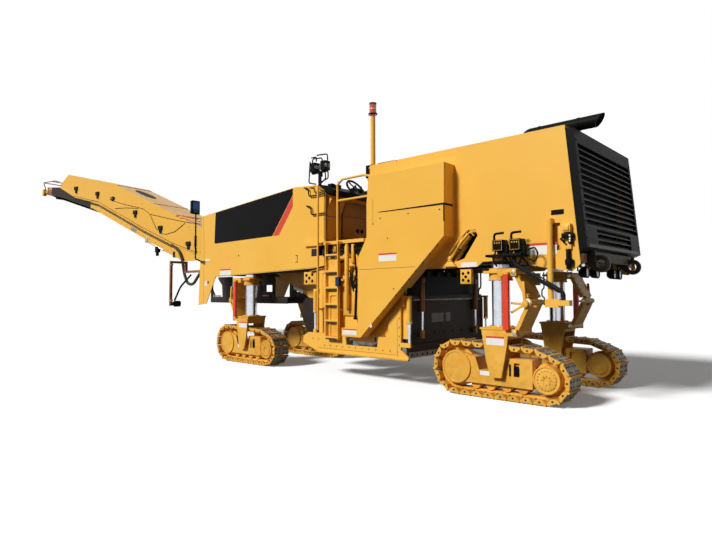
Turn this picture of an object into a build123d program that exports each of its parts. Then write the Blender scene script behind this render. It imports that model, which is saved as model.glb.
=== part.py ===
from build123d import *
from math import atan2, cos, hypot, pi, radians, sin
import os

# A half-lane cold planer on four crawler legs, in mm.
# Machine axes: X forward, Y to the machine's left, Z up, with X = 0 at the rear legs and Z = 0 on the ground.
# Nodes are written about the middle of the machine's footprint, conveyor included.
ORIGIN_X = 6297
ORIGIN_Y = 300

# Width over the body's sides, and how far in from them each leg's column stands
HALF_WIDTH = 960
COLUMN_INSET = 140
HALF_GAUGE = HALF_WIDTH - COLUMN_INSET

# Legs and crawlers
WHEELBASE = 5020
TRACK_LENGTH = 1800
TRACK_WIDTH = 320
IDLER_R = 343
SPROCKET_R = 291
SHOES = 26
SHOE_GAP = 8
SHOE_THICK = 16
GROUSER_HIGH = 14
GROUSER_WIDE = 26
LUG_DEEP = 38
CHAIN_HIGH = 62
CHAIN_WIDE = 130
ROLLER_R = 62
COLUMN_R = 108
COLUMN_TOP = 2260
YOKE_TOP = 850
YOKE_FRONT = 180
YOKE_REAR = -200
YOKE_DEPTH = 130
YOKE_PLATE = 25
BLADE_THICK = 26
SLIDE_FIT = 0.3
COLLAR_LOW = 1425
COLLAR_HIGH = 1555
COLLAR_R = 138
LINK_OUT = 262
KNEE_OUT = 432
LINK_TOP = 1500
LINK_LOW = 800
LINK_WIDE = 330
LINK_PIN_R = 20
PIN_FIT = 0.1
HINGE_FIT = 0.5
KNEE_GAP = 6
LOCK_NEAR = 148
LOCK_WIDE = 70
LOCK_IN = LINK_WIDE / 2 + 45

# Bodywork
PANEL = 10
BODY_LOW = 1575
DECK_TOP = 2060
HOOD_TOP = 3080
GUARD_BACK = HALF_WIDTH + 85
GUARD_FACE = GUARD_BACK + 155

HOOD_SPLIT = 1500
LID = 25
EXHAUST_R = 72
LOUVRES = 13
SHORT_LOUVRES = 3
LOUVRE_PITCH = 70.5
LOUVRE_TOP = 2900
STILE = 60
SHORT_HALF = 590
HINGE = (1490, 3130)

# Frame
BEAM_IN = 480
BEAM_OUT = 640
BEAM_LOW = 1625
BEAM_HIGH = 1950
BEAM_NOSE = 5880
SOCKET_R = 128
SOCKET_TOP = 2080
TOW_EYE = (-1090, 1580)
TOW_R = 47
TOW_ROUND = 95

# Milling unit
DRUM_X = 2100
DRUM_Z = 885
DRUM_R = 400
TIP_R = 510
HOUSING_REAR = 1340
HOUSING_FRONT = 3030
HOUSING_IN = HALF_WIDTH
END_PLATE = 25
SIDE_IN = HOUSING_IN + END_PLATE + 15
SIDE_THICK = 28
SHAFT_R = 70
BEARING_R = 120
PICK_ROWS = 24
PICKS_IN_ROW = 4
SPIRAL = 0.42

LIFT_ROD_R = 18
LIFT_BARREL_R = 34
LIFT_FRONT_X = 3090
LIFT_REAR_X = 1248
LIFT_Y = SIDE_IN + 8
MOLD_THICK = 34

# Operator's station
RAIL_R = 17
MAST = (2032, 835)
LADDER_X = (2510, 2770)
LADDER_Y = HALF_WIDTH + 116
LADDER_LOW = 570
RUNG_STEP = 247

# Loading conveyor: boom sizes are taken straight ahead from its swing pivot
SWING_X = 6500
SWING = 10.45
TURRET_LOW = 1760
BOOM_HALF = 500
BOOM_SIDE = 50
SKIN = 8
LIFT_Z = 1930
LIFT_PIN_R = 35
BELT_R = 105
BELT_THICK = 14
IDLER_PIPE_R = 40
BELT_HALF = 400
BELT_FACETS = 8
TAIL = (-210, 2010)
BEND = (4295, 3350)
HEAD = (6715, 4040)
CYLINDER_R = 48
CYLINDER_FOOT = (260, 1720)
CYLINDER_EYE = (2900, 2640)


def slab(x0, x1, y0, y1, z0, z1):
    return Pos((x0 + x1) / 2, (y0 + y1) / 2, (z0 + z1) / 2) * Box(abs(x1 - x0), abs(y1 - y0), abs(z1 - z0))


def profile(points, y0, y1):
    """A side profile, given as (x, z), carried across from y0 to y1."""
    outline = Polyline([(x, y0, z) for x, z in points], close=True)
    return Part() + extrude(make_face(outline), amount=y1 - y0, dir=(0, 1, 0))


def rod(a, b, r):
    a, b = Vector(*a), Vector(*b)
    line = b - a
    return Part() + Solid.make_cylinder(r, line.length, Plane(origin=a, z_dir=line))


def pin(x, z, r, y0, y1):
    return rod((x, y0, z), (x, y1, z), r)


def tube(points, r, bend):
    path = FilletPolyline(*[Vector(*p) for p in points], radius=bend)
    return Part() + sweep(Plane(origin=path @ 0, z_dir=path % 0) * Circle(r), path=path)


def write(name, *shapes):
    solids = [s for shape in shapes for s in shape.solids()]
    moved = [s.moved(Location((-ORIGIN_X, -ORIGIN_Y, 0))) for s in solids]
    export_step(Compound(children=moved), f"parts/{name}.step")


# ---- crawlers: drawn about a leg's axis, Y outboard ----
def loop_point(distance, depth):
    """A point of the track's outline and the outward direction there, depth mm inside the tips."""
    front = TRACK_LENGTH / 2 - IDLER_R
    rear = SPROCKET_R - TRACK_LENGTH / 2
    lean = (IDLER_R - SPROCKET_R) / (front - rear)
    top = radians(90) + lean
    big, small = IDLER_R - depth, SPROCKET_R - depth
    straight = hypot(front - rear, IDLER_R - SPROCKET_R)
    runs = [
        ("line", front - rear, (rear, depth), (0, -1)),
        ("arc", big * (top + pi / 2), (front, IDLER_R), -pi / 2),
        ("line", straight, (front + big * cos(top), IDLER_R + big * sin(top)), (cos(top), sin(top))),
        ("arc", small * (3 * pi / 2 - top), (rear, SPROCKET_R), top),
    ]
    total = sum(run[1] for run in runs)
    distance = distance * total
    for kind, length, start, value in runs:
        if distance <= length:
            break
        distance -= length
    if kind == "line":
        along = (-value[1], value[0])
        return start[0] + along[0] * distance, start[1] + along[1] * distance, value
    radius = big if start[0] == front else small
    angle = value + distance / radius
    out = (cos(angle), sin(angle))
    return start[0] + radius * out[0], start[1] + radius * out[1], out


def track():
    """One closed crawler: a chain of flat links with a grouser shoe bolted on each."""
    depth = SHOE_THICK + GROUSER_HIGH
    joints = [loop_point(i / SHOES, depth) for i in range(SHOES)]
    outer = [(x, z) for x, z, out in joints]
    inner = [(x - CHAIN_HIGH * out[0], z - CHAIN_HIGH * out[1]) for x, z, out in joints]
    chain = profile(outer, -CHAIN_WIDE / 2, CHAIN_WIDE / 2) - profile(inner, -CHAIN_WIDE / 2, CHAIN_WIDE / 2)
    shoes = []
    for i in range(SHOES):
        (x0, z0), (x1, z1) = outer[i], outer[(i + 1) % SHOES]
        length = hypot(x1 - x0, z1 - z0)
        ux, uz = (x1 - x0) / length, (z1 - z0) / length
        tip = SHOE_THICK + GROUSER_HIGH
        section = [
            (SHOE_GAP / 2, 0),
            (44, -LUG_DEEP),
            (length - 44, -LUG_DEEP),
            (length - SHOE_GAP / 2, 0),
            (length - SHOE_GAP / 2, SHOE_THICK),
            (SHOE_GAP / 2 + GROUSER_WIDE, SHOE_THICK),
            (SHOE_GAP / 2 + GROUSER_WIDE - 6, tip),
            (SHOE_GAP / 2, tip),
        ]
        placed = [(x0 + s * ux + h * uz, z0 + s * uz - h * ux) for s, h in section]
        shoes.append(profile(placed, -TRACK_WIDTH / 2, TRACK_WIDTH / 2))
    return chain + shoes


def yoke():
    """Yoke that straddles the track, drawn for trailing links."""
    blade = [
        (YOKE_REAR + 15, YOKE_TOP - YOKE_PLATE),
        (YOKE_FRONT - 15, YOKE_TOP - YOKE_PLATE),
        (YOKE_FRONT - 30, 750),
        (105, 450),
        (50, 265),
        (-90, 265),
        (-150, 560),
        (YOKE_REAR + 20, 750),
    ]
    outer = TRACK_WIDTH / 2 + 10
    edge = outer + BLADE_THICK + 6
    body = slab(YOKE_REAR, YOKE_FRONT, -edge, edge, YOKE_TOP - YOKE_PLATE, YOKE_TOP)
    body += slab(YOKE_REAR + 15, YOKE_FRONT - 30, -outer, outer, YOKE_TOP - YOKE_DEPTH, YOKE_TOP - YOKE_PLATE)
    for side in (-1, 1):
        body += profile(blade, side * outer, side * (outer + BLADE_THICK))
    # the pivot shaft that carries the track frame between the two blades
    body += pin(-15, 320, 55, -outer, outer)
    for side in (-1, 1):
        y0, y1 = sorted((side * (LINK_WIDE / 2 + KNEE_GAP), side * (LINK_WIDE / 2 + 34)))
        body += slab(-LINK_OUT - 30, YOKE_REAR + 60, y0, y1, LINK_LOW - 40, LINK_LOW + 40)
    return body + hinge_pin(-LINK_OUT, LINK_LOW)


def track_frame():
    """Track frame with its idler, rollers and final drive."""
    front = TRACK_LENGTH / 2 - IDLER_R
    rear = SPROCKET_R - TRACK_LENGTH / 2
    half = TRACK_WIDTH / 2 - 35
    beam = [
        (front, 165), (-440, 165), (-440, 495), (-95, 495), (-60, 330), (100, 300), (240, 330), (290, 480),
        (front, 545),
    ]
    frame = profile(beam, -half, half)
    frame += pin(front, IDLER_R, 203, -half - 12, half + 12)
    for y in (-half - 1, half - 40):
        frame -= slab(-285, -215, y, y + 41, 300, 445) + slab(-168, -154, y, y + 41, 300, 430)
    frame += pin(rear, SPROCKET_R, 158, -half - 16, half + 16)
    frame += slab(rear, -430, -60, 60, 235, 345)
    rollers = Part()
    deep = SHOE_THICK + GROUSER_HIGH + CHAIN_HIGH
    for x in (-300, -100, 110, 310):
        rollers += pin(x, deep + ROLLER_R, ROLLER_R, -CHAIN_WIDE / 2 - 18, CHAIN_WIDE / 2 + 18)
    idler = pin(front, IDLER_R, IDLER_R - deep - 12, -45, 45)
    sprocket = pin(rear, SPROCKET_R, SPROCKET_R - deep - 12, -30, 30)
    return frame + rollers + idler + sprocket


def column():
    return rod((0, 0, YOKE_TOP), (0, 0, COLUMN_TOP), COLUMN_R)


def hinge_pin(x, z):
    return pin(x, z, LINK_PIN_R, -LINK_WIDE / 2 - 37, LINK_WIDE / 2 + 37)


def collar(way):
    """Steering collar round the column; way is -1 when its links trail and 1 when they lead."""
    ring = rod((0, 0, COLLAR_LOW), (0, 0, COLLAR_HIGH), COLLAR_R)
    x0, x1 = sorted((way * 60, way * (LINK_OUT + 35)))
    ears = Part()
    for y in (-LINK_WIDE / 2 - 34, LINK_WIDE / 2 + 6):
        ears += slab(x0, x1, y, y + 28, LINK_TOP - 45, LINK_TOP + 45)
    near, far = sorted((way * 60, way * (COLLAR_R + 20)))
    ears += slab(near, far, -LINK_WIDE / 2 - 34, LINK_WIDE / 2 + 34, LINK_TOP - 45, LINK_TOP + 45)
    body = ring + ears + hinge_pin(way * LINK_OUT, LINK_TOP)
    body += slab(*lock_span(way), LINK_WIDE / 2 + 20, LOCK_IN + 40, COLLAR_HIGH - 80, COLLAR_HIGH - 55)
    saddle = slab(-150, 150, -COLLAR_R, COLLAR_R + 22, COLLAR_HIGH - 60, COLLAR_HIGH - 30)
    return body + saddle - rod((0, 0, COLLAR_LOW - 1), (0, 0, COLLAR_HIGH + 1), COLUMN_R + SLIDE_FIT)


def lock_span(way):
    return sorted((way * LOCK_NEAR, way * (LOCK_NEAR + LOCK_WIDE)))


def lock(way):
    """Red safety lock that hangs from the collar beside the yoke."""
    return slab(*lock_span(way), LOCK_IN, LOCK_IN + 40, YOKE_TOP - 15, COLLAR_HIGH - 80)


def link(way, upper):
    """Half of a scissor link. Both halves meet at the knee, the upper one between the lower one's ears."""
    z = LINK_TOP if upper else LINK_LOW
    knee_z = (LINK_TOP + LINK_LOW) / 2
    a = Vector(way * LINK_OUT, 0, z)
    k = Vector(way * KNEE_OUT, 0, knee_z)
    u = (k - a).normalized()
    n = Vector(-u.Z, 0, u.X) * 24
    near, far = a + u * 20, k - u * 60
    web = [(p.X, p.Z) for p in (near + n, far + n, far - n, near - n)]
    plate = profile(web, -LINK_WIDE / 2, LINK_WIDE / 2)
    plate += pin(a.X, a.Z, 38, -LINK_WIDE / 2, LINK_WIDE / 2)
    plate -= pin(a.X, a.Z, LINK_PIN_R + PIN_FIT, -LINK_WIDE, LINK_WIDE)
    arm = [(p.X, p.Z) for p in (k - u * 90 + n, k + n, k - n, k - u * 90 - n)]
    middle = LINK_WIDE / 6
    if upper:
        spans = [(-middle, middle)]
    else:
        spans = [(-LINK_WIDE / 2, -middle - KNEE_GAP), (middle + KNEE_GAP, LINK_WIDE / 2)]
    for y0, y1 in spans:
        plate += profile(arm, y0, y1) + pin(k.X, k.Z, 34, y0, y1)
    return plate


LEGS = (
    # name, axle x, side, way the links point
    ("rear_left", 0, 1, -1),
    ("rear_right", 0, -1, -1),
    ("front_left", WHEELBASE, 1, 1),
    ("front_right", WHEELBASE, -1, 1),
)


def place(shape, x, side):
    moved = shape if side > 0 else mirror(shape, about=Plane.XZ)
    return Pos(x, side * HALF_GAUGE, 0) * moved


def legs():
    loop = track()
    trailing = track_frame() + yoke()
    leading = track_frame() + mirror(yoke(), about=Plane.YZ)
    for name, x, side, way in LEGS:
        write(f"track_{name}", place(loop, x, side))
        write(f"carrier_{name}", place(trailing if way < 0 else leading, x, side))
        write(f"column_{name}", place(column(), x, side))
        write(f"collar_{name}", place(collar(way), x, side))
        write(f"lock_{name}", place(lock(way), x, side))
        write(f"link_upper_{name}", place(link(way, True), x, side))
        write(f"link_lower_{name}", place(link(way, False), x, side))


# ---- main frame ----
def both(shape):
    return shape + mirror(shape, about=Plane.XZ)


def chassis():
    beam = slab(-880, BEAM_NOSE, BEAM_IN, BEAM_OUT, BEAM_LOW, BEAM_HIGH)
    beam += slab(BEAM_NOSE, SWING_X - 80, BEAM_IN, BEAM_OUT, BEAM_LOW, TURRET_LOW - 10)
    for x in (0, WHEELBASE):
        beam += slab(x - 170, x + 170, BEAM_OUT, HALF_GAUGE, BEAM_LOW + 20, BEAM_HIGH - 20)
        beam += rod((x, HALF_GAUGE, BEAM_LOW - 25), (x, HALF_GAUGE, SOCKET_TOP), SOCKET_R)
        beam -= rod((x, HALF_GAUGE, BEAM_LOW - 50), (x, HALF_GAUGE, SOCKET_TOP + 1), COLUMN_R + SLIDE_FIT)
    for x in (HOUSING_REAR + 100, HOUSING_FRONT - 160):
        beam += slab(x, x + 120, BEAM_OUT, HALF_WIDTH - PANEL, BEAM_LOW, BEAM_HIGH)
    frame = both(beam)
    for x in (-880, 420, HOUSING_REAR, HOUSING_FRONT - 120):
        frame += slab(x, x + 120, -BEAM_IN, BEAM_IN, BEAM_LOW + 60, BEAM_HIGH)
    return frame


def tow_lugs():
    """Cross band at the frame's rear end and the two lugs with their eyes."""
    x, z = TOW_EYE
    lug = [(-880, BEAM_LOW), (-880, 1695), (x, z + TOW_ROUND), (x, z - TOW_ROUND), (x + 60, z - TOW_ROUND + 15)]
    lug = profile(lug, 540, 580)
    lug += pin(x, z, TOW_ROUND, 540, 580) - pin(x, z, TOW_R, 539, 581)
    lug -= pin(x, z, TOW_R, 539, 581)
    arm = slab(-1050, -880, BEAM_IN, BEAM_OUT, BEAM_LOW, 1695)
    return both(lug + arm - pin(x, z, TOW_R, 539, 581)) + slab(-1050, -1025, -BEAM_OUT, BEAM_OUT, 1605, 1715)


# ---- bodywork ----
WELL_WALL = (3070, 2910)
WING_END = 2910
FRONT_SIDE = (
    (6500, 2790), (6450, 2812), (3670, 3020), (3190, 2990), WELL_WALL,
    (3090, 1660), (5990, 1580), (6310, 1060), (6600, 1030),
)
REAR_SIDE = (
    (1990, 3090), (-870, HOOD_TOP), (-1010, 1570), (-920, 1490), (-330, 1590),
    (-230, 1640), (160, 1640), (240, 1580), (640, BODY_LOW), (1990, BODY_LOW),
)


def front_body():
    shell = profile(FRONT_SIDE, -HALF_WIDTH, HALF_WIDTH)
    hollow = [
        (6800, 2760), (6450, 2800), (3670, 3008), (3195, 2979), (3082, 2903),
        (3095, 2020), (2900, 2020), (2900, 900), (6800, 900),
    ]
    shell -= profile(hollow, PANEL - HALF_WIDTH, HALF_WIDTH - PANEL)
    shell += slab(6440, 6450, PANEL - HALF_WIDTH, HALF_WIDTH - PANEL, 2715, 2801)
    wing = [(WING_END, DECK_TOP + 4), (3090, DECK_TOP + 4), (3075, 2905), (WING_END, 2830)]
    return shell + both(profile(wing, HALF_WIDTH - PANEL, HALF_WIDTH))


def rear_body():
    shell = profile(REAR_SIDE, -HALF_WIDTH, HALF_WIDTH)
    hollow = [(1980, 3200), (-1100, 3200), (-1100, 1300), (2100, 1300), (2100, 2020), (1980, 2020)]
    shell -= profile(hollow, PANEL - HALF_WIDTH, HALF_WIDTH - PANEL)
    slot = [(640, 1620), (420, 1690), (230, 1960), (250, 2040), (330, 2050), (420, 1990)]
    shell -= profile(slot, HALF_WIDTH - PANEL - 1, HALF_WIDTH + 1)
    rear_slot = [(-705, 1730), (-705, 2030), (-795, 2030), (-805, 1730)]
    shell -= profile(rear_slot, HALF_WIDTH - PANEL - 1, HALF_WIDTH + 1)
    return shell


def hood_z(x):
    """Height of the side panels' top edge."""
    return HOOD_TOP + 10 * (x + 870) / 2860


def top_plate(x0, x1):
    edge = [(x0, hood_z(x0)), (x1, hood_z(x1)), (x1, hood_z(x1) + LID), (x0, hood_z(x0) + LID)]
    return profile(edge, -HALF_WIDTH, HALF_WIDTH)


def engine_hood():
    """Tilting lid with its hinge knuckles at the front."""
    lid = top_plate(-870, HINGE[0] - 2)
    for y in (-500, 500):
        lid += pin(HINGE[0], HINGE[1], 16, y - 40, y + 40)
        lid += slab(HINGE[0] - 40, HINGE[0], y - 40, y + 40, HINGE[1] - 30, HINGE[1])
        lid -= pin(HINGE[0], HINGE[1], 8 + HINGE_FIT, y - 41, y + 41)
    return lid


def fixed_top():
    top = top_plate(HOOD_SPLIT, 1990)
    for y in (-500, 500):
        for y0 in (y - 64, y + 46):
            top += slab(HINGE[0] - 11, HINGE[0] + 70, y0, y0 + 18, HINGE[1] - 11, HINGE[1] + 12)
        top += pin(HINGE[0], HINGE[1], 8, y - 64, y + 64)
    return top


def grille():
    """Louvred rear housing: a plain band, thirteen full louvres and three short ones in a plain foot."""
    outline = [(-840, 3060), (-960, 3060), (-1080, 1750), (-960, 1700)]
    half = HALF_WIDTH - PANEL
    frame = profile(outline, -half, half)
    low = LOUVRE_TOP - LOUVRES * LOUVRE_PITCH
    window = [(-800, LOUVRE_TOP), (-1160, LOUVRE_TOP), (-1160, low), (-800, low)]
    frame -= profile(window, STILE - half, half - STILE)
    short_top = low - 18
    low -= SHORT_LOUVRES * LOUVRE_PITCH
    short_window = [(-800, short_top), (-1160, short_top), (-1160, low), (-800, low)]
    frame -= profile(short_window, -SHORT_HALF, SHORT_HALF)
    frame -= profile([(-830, 2990), (-925, 2990), (-1040, low), (-830, low)], STILE - half, half - STILE)
    slats = Part()
    for i in range(LOUVRES + SHORT_LOUVRES):
        z = LOUVRE_TOP - (i + 1) * LOUVRE_PITCH
        x = -1076 + (z - 1750) * 120 / 1310
        slat = [(x, z + 4), (x + 10, z + 4), (x + 44, z + 52), (x + 34, z + 52)]
        wide = half - STILE if i < LOUVRES else SHORT_HALF
        slats += profile(slat, -wide, wide)
    return frame, slats


def engine():
    block = slab(-150, 1400, -430, 430, BEAM_HIGH, 2700)
    radiator = slab(-820, -640, -860, 860, BEAM_HIGH, 2980)
    return block, radiator


def exhaust():
    """Stack that lies along the lid with a slanted open end."""
    z = 3186
    pipe = tube([(-250, 600, hood_z(-250) + LID + 0.6), (-250, 600, z), (-1300, 600, z)], EXHAUST_R, 76)
    pipe -= profile([(-1400, 3400), (-1270, 3400), (-1050, 3080), (-1400, 3080)], 400, 800)
    return pipe - rod((-500, 600, z), (-1400, 600, z), EXHAUST_R - 8)


def deck():
    floor = slab(2000, 3060, -HALF_WIDTH, HALF_WIDTH, DECK_TOP - 40, DECK_TOP)
    edge = slab(2080, 3370, HALF_WIDTH, HALF_WIDTH + 40, DECK_TOP - 50, DECK_TOP)
    legs = Part()
    for x in (2120, 2900):
        legs += slab(x, x + 80, BEAM_IN, BEAM_OUT, BEAM_HIGH, DECK_TOP - 40)
    skirt = slab(2000, 3060, HALF_WIDTH - PANEL, HALF_WIDTH, BODY_LOW, 1850)
    for x in (2040, 2700):
        skirt += slab(x, x + 60, HALF_WIDTH - 50, HALF_WIDTH - PANEL, 1790, DECK_TOP - 40)
    return floor + both(edge + legs + skirt)


GUARD = (
    (1800, 2895), (550, 2890), (560, 1970), (1960, 640), (2330, 640), (2330, 760),
    (2010, 800), (2005, 1760), (1840, 2030), (1840, 2500),
)
GUARD_HOLLOW = (
    (1785, 2880), (565, 2875), (575, 1977), (1968, 655), (2315, 655), (2315, 745),
    (1995, 785), (1990, 1756), (1825, 2027), (1825, 2498),
)


def belt_guard():
    """Cover of the drum's belt drive, open at its back."""
    shell = profile(GUARD, GUARD_BACK, GUARD_FACE)
    # above the side plate's travel the cover's edges reach in to the housing and the bodywork
    for low, inner in ((1330, HOUSING_IN + END_PLATE + 5), (1590, HALF_WIDTH)):
        shell += profile(GUARD, inner, GUARD_BACK) & slab(0, 3000, inner, GUARD_BACK, low, 3000)
    shell -= profile(GUARD_HOLLOW, HALF_WIDTH - 1, GUARD_FACE - SKIN)
    # the shadow gap between the upper door and the belt cover
    return shell - slab(540, 1610, GUARD_FACE - 5, GUARD_FACE + 1, 2362, 2374)


# ---- milling unit ----
def housing():
    """Open-bottomed box round the drum, hung from the frame."""
    end = [
        (HOUSING_REAR, 640), (1900, 640), (1900, 560), (2300, 560), (2300, 640), (HOUSING_FRONT, 640),
        (HOUSING_FRONT, BODY_LOW - 3), (HOUSING_REAR + 160, BODY_LOW - 3), (HOUSING_REAR, 1180),
    ]
    box = Part()
    for y in (HOUSING_IN, -HOUSING_IN - END_PLATE):
        box += profile(end, y, y + END_PLATE)
    box += slab(HOUSING_REAR, HOUSING_FRONT, -HOUSING_IN, HOUSING_IN, BODY_LOW - 28, BODY_LOW - 3)
    box += slab(HOUSING_REAR, HOUSING_REAR + 12, -HOUSING_IN, HOUSING_IN, 1160, BODY_LOW - 3)
    box += slab(HOUSING_FRONT - 20, HOUSING_FRONT, -HOUSING_IN, HOUSING_IN, 700, BODY_LOW - 3)
    box -= slab(HOUSING_FRONT - 30, HOUSING_FRONT + 10, -420, 420, 640, 1400)
    for x in (HOUSING_REAR + 100, HOUSING_FRONT - 160):
        box += both(slab(x, x + 120, BEAM_IN, BEAM_OUT, BODY_LOW - 3, BEAM_LOW))
    out = HOUSING_IN + END_PLATE
    box += both(pin(DRUM_X, DRUM_Z, BEARING_R, out, SIDE_IN - 5))
    return box - pin(DRUM_X, DRUM_Z, SHAFT_R + PIN_FIT, -SIDE_IN, SIDE_IN)


def drum():
    """Milling drum: tube, end shafts and picks laid in two opposed spirals."""
    half = HOUSING_IN - 12
    body = pin(DRUM_X, DRUM_Z, DRUM_R, -half, half) - pin(DRUM_X, DRUM_Z, DRUM_R - 30, -half - 1, half + 1)
    for y in (-half, half - 20):
        body += pin(DRUM_X, DRUM_Z, DRUM_R - 29, y, y + 20)
    body += pin(DRUM_X, DRUM_Z, SHAFT_R, -SIDE_IN + 6, -half) + pin(DRUM_X, DRUM_Z, SHAFT_R, half, SIDE_IN - 6)
    return body + picks()


def picks():
    shapes = []
    for i in range(PICK_ROWS):
        y = -HOUSING_IN + 60 + i * (2 * HOUSING_IN - 120) / (PICK_ROWS - 1)
        for j in range(PICKS_IN_ROW):
            angle = radians(abs(y) * SPIRAL + j * 360 / PICKS_IN_ROW)
            c, s = cos(angle), sin(angle)
            holder = [(DRUM_R - 8, -45), (DRUM_R + 55, -30), (DRUM_R + 62, 18), (DRUM_R - 8, 40)]
            bit = [(DRUM_R + 50, -14), (TIP_R, 30), (DRUM_R + 50, 16)]
            for shape, wide in ((holder, 26), (bit, 14)):
                placed = [(DRUM_X + r * c - t * s, DRUM_Z + r * s + t * c) for r, t in shape]
                shapes.append(profile(placed, y - wide, y + wide))
    return shapes


def side_plate():
    """Sliding side plate with its skid and the two lift rods it hangs on."""
    outline = [
        (1250, 350), (2990, 350), (3350, 490), (3350, 585), (3230, 650), (2420, 650), (2400, 500),
        (1800, 500), (1780, 650), (1600, 650), (1600, 900), (1420, 1070), (1380, 1070), (1380, 490),
        (1250, 400),
    ]
    plate = profile(outline, SIDE_IN, SIDE_IN + SIDE_THICK)
    plate += slab(1250, 2990, SIDE_IN + SIDE_THICK, SIDE_IN + SIDE_THICK + 18, 350, 375)
    plate += slab(LIFT_REAR_X - 30, 1385, SIDE_IN, SIDE_IN + SIDE_THICK, 530, 590)
    plate += rod((LIFT_REAR_X, LIFT_Y, 590), (LIFT_REAR_X, LIFT_Y, 920), LIFT_ROD_R)
    plate += slab(LIFT_FRONT_X - 30, LIFT_FRONT_X + 30, SIDE_IN, SIDE_IN + SIDE_THICK, 640, 700)
    plate += rod((LIFT_FRONT_X, LIFT_Y, 700), (LIFT_FRONT_X, LIFT_Y, 1035), LIFT_ROD_R)
    return plate


def side_lifts():
    """Barrels of the side plate cylinders, on brackets from the drum housing."""
    barrel = rod((LIFT_FRONT_X, LIFT_Y, 960), (LIFT_FRONT_X, LIFT_Y, 1300), LIFT_BARREL_R)
    barrel -= rod((LIFT_FRONT_X, LIFT_Y, 950), (LIFT_FRONT_X, LIFT_Y, 1290), LIFT_ROD_R + SLIDE_FIT)
    bracket = slab(HOUSING_FRONT, LIFT_FRONT_X, HOUSING_IN - 20, LIFT_Y + 20, 1300, 1330)
    bracket += slab(LIFT_FRONT_X - 30, LIFT_FRONT_X + 30, LIFT_Y - 30, LIFT_Y + 20, 1300, 1330)
    barrel += rod((LIFT_REAR_X, LIFT_Y, 850), (LIFT_REAR_X, LIFT_Y, 1190), LIFT_BARREL_R)
    barrel -= rod((LIFT_REAR_X, LIFT_Y, 840), (LIFT_REAR_X, LIFT_Y, 1180), LIFT_ROD_R + SLIDE_FIT)
    bracket += slab(LIFT_REAR_X - 30, HOUSING_REAR + 20, HOUSING_IN + END_PLATE, LIFT_Y + 30, 1190, 1220)
    bracket += slab(HOUSING_REAR - 14, HOUSING_REAR + 20, HOUSING_IN + END_PLATE, LIFT_Y + 30, 1080, 1190)
    return both(barrel + bracket)


def moldboard():
    edge = HOUSING_IN + 6 - PIN_FIT
    blade = slab(HOUSING_REAR - 6 - MOLD_THICK, HOUSING_REAR - 6, -edge, edge, 380, 1240)
    rib = HOUSING_IN - 40
    for z in (520, 1180):
        blade += slab(HOUSING_REAR - 46 - MOLD_THICK, HOUSING_REAR - 6, -rib, rib, z, z + 40)
    return blade


def mold_guides():
    """Channels at the housing's rear corners that the moldboard slides in."""
    rail = slab(HOUSING_REAR - 20 - MOLD_THICK, HOUSING_REAR, HOUSING_IN + 6, HOUSING_IN + END_PLATE, 640, 1180)
    return both(rail)


def half_turn(centre, r, start):
    """Points of a half circle of radius r, from the angle start clockwise."""
    angles = [start - i * pi / BELT_FACETS for i in range(BELT_FACETS + 1)]
    return [(centre[0] + r * cos(angle), centre[1] + r * sin(angle)) for angle in angles]


def belt_outline(points, r):
    """Outline of a belt that runs over rollers of radius r at the first and last points, as (x, z)."""
    first, last = points[0], points[-1]
    a0 = atan2(points[1][1] - first[1], points[1][0] - first[0])
    a1 = atan2(last[1] - points[-2][1], last[0] - points[-2][0])
    out = half_turn(first, r, a0 - pi / 2)
    if len(points) > 2:
        mid = (a0 + a1) / 2 + pi / 2
        out.append((points[1][0] + r * cos(mid), points[1][1] + r * sin(mid)))
    out += half_turn(last, r, a1 + pi / 2)
    if len(points) > 2:
        out.append((points[1][0] - r * cos(mid), points[1][1] - r * sin(mid)))
    return out


def rollers(points, half, shares):
    """End rollers inside the belt and carrying idlers under its upper run."""
    inner = BELT_R - BELT_THICK
    out = Part()
    for x, z in (points[0], points[-1]):
        out += pin(x, z, inner * cos(pi / BELT_FACETS / 2), -half, half)
    for (x0, z0), (x1, z1) in zip(points, points[1:]):
        slope = atan2(z1 - z0, x1 - x0)
        high = inner - IDLER_PIPE_R
        for share in shares:
            x = x0 + (x1 - x0) * share - high * sin(slope)
            z = z0 + (z1 - z0) * share + high * cos(slope)
            out += pin(x, z, IDLER_PIPE_R, -half, half)
    return out


def belt(points, half):
    loop = profile(belt_outline(points, BELT_R), -half, half)
    return loop - profile(belt_outline(points, BELT_R - BELT_THICK), -half - 1, half + 1)


def collecting_conveyor():
    low, high = (2960, 930), (6020, 2440)
    u = Vector(high[0] - low[0], 0, high[1] - low[1]).normalized()
    n = Vector(-u.Z, 0, u.X)
    side = []
    for p, s, h in ((low, 60, -190), (high, 90, -190), (high, 90, 170), (low, 60, 170)):
        side.append((p[0] + u.X * s + n.X * h, p[1] + u.Z * s + n.Z * h))
    frame = both(profile(side, 385, 400))
    frame += rollers([low, high], 385, (0.2, 0.4, 0.6, 0.8))
    hangers = Part()
    for x in (3900, 5500):
        z = low[1] + (high[1] - low[1]) * (x - low[0]) / (high[0] - low[0])
        hangers += slab(x - 40, x + 40, 400, BEAM_IN, max(z - 120, BEAM_LOW), BEAM_HIGH)
    frame += both(hangers)
    return frame, belt([low, high], 370)


# ---- loading conveyor, drawn straight ahead and then swung ----
def swung(shape):
    return Pos(SWING_X, 0, 0) * (Rot(0, 0, SWING) * shape)


HOOD_SIDE = (
    (300, 2500), (3825, 3960), (5825, 4420), (6185, 4190), (5495, 3820),
    (4295, 3540), (2645, 2790), (1505, 2350), (845, 2150), (300, 2100),
)


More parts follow.
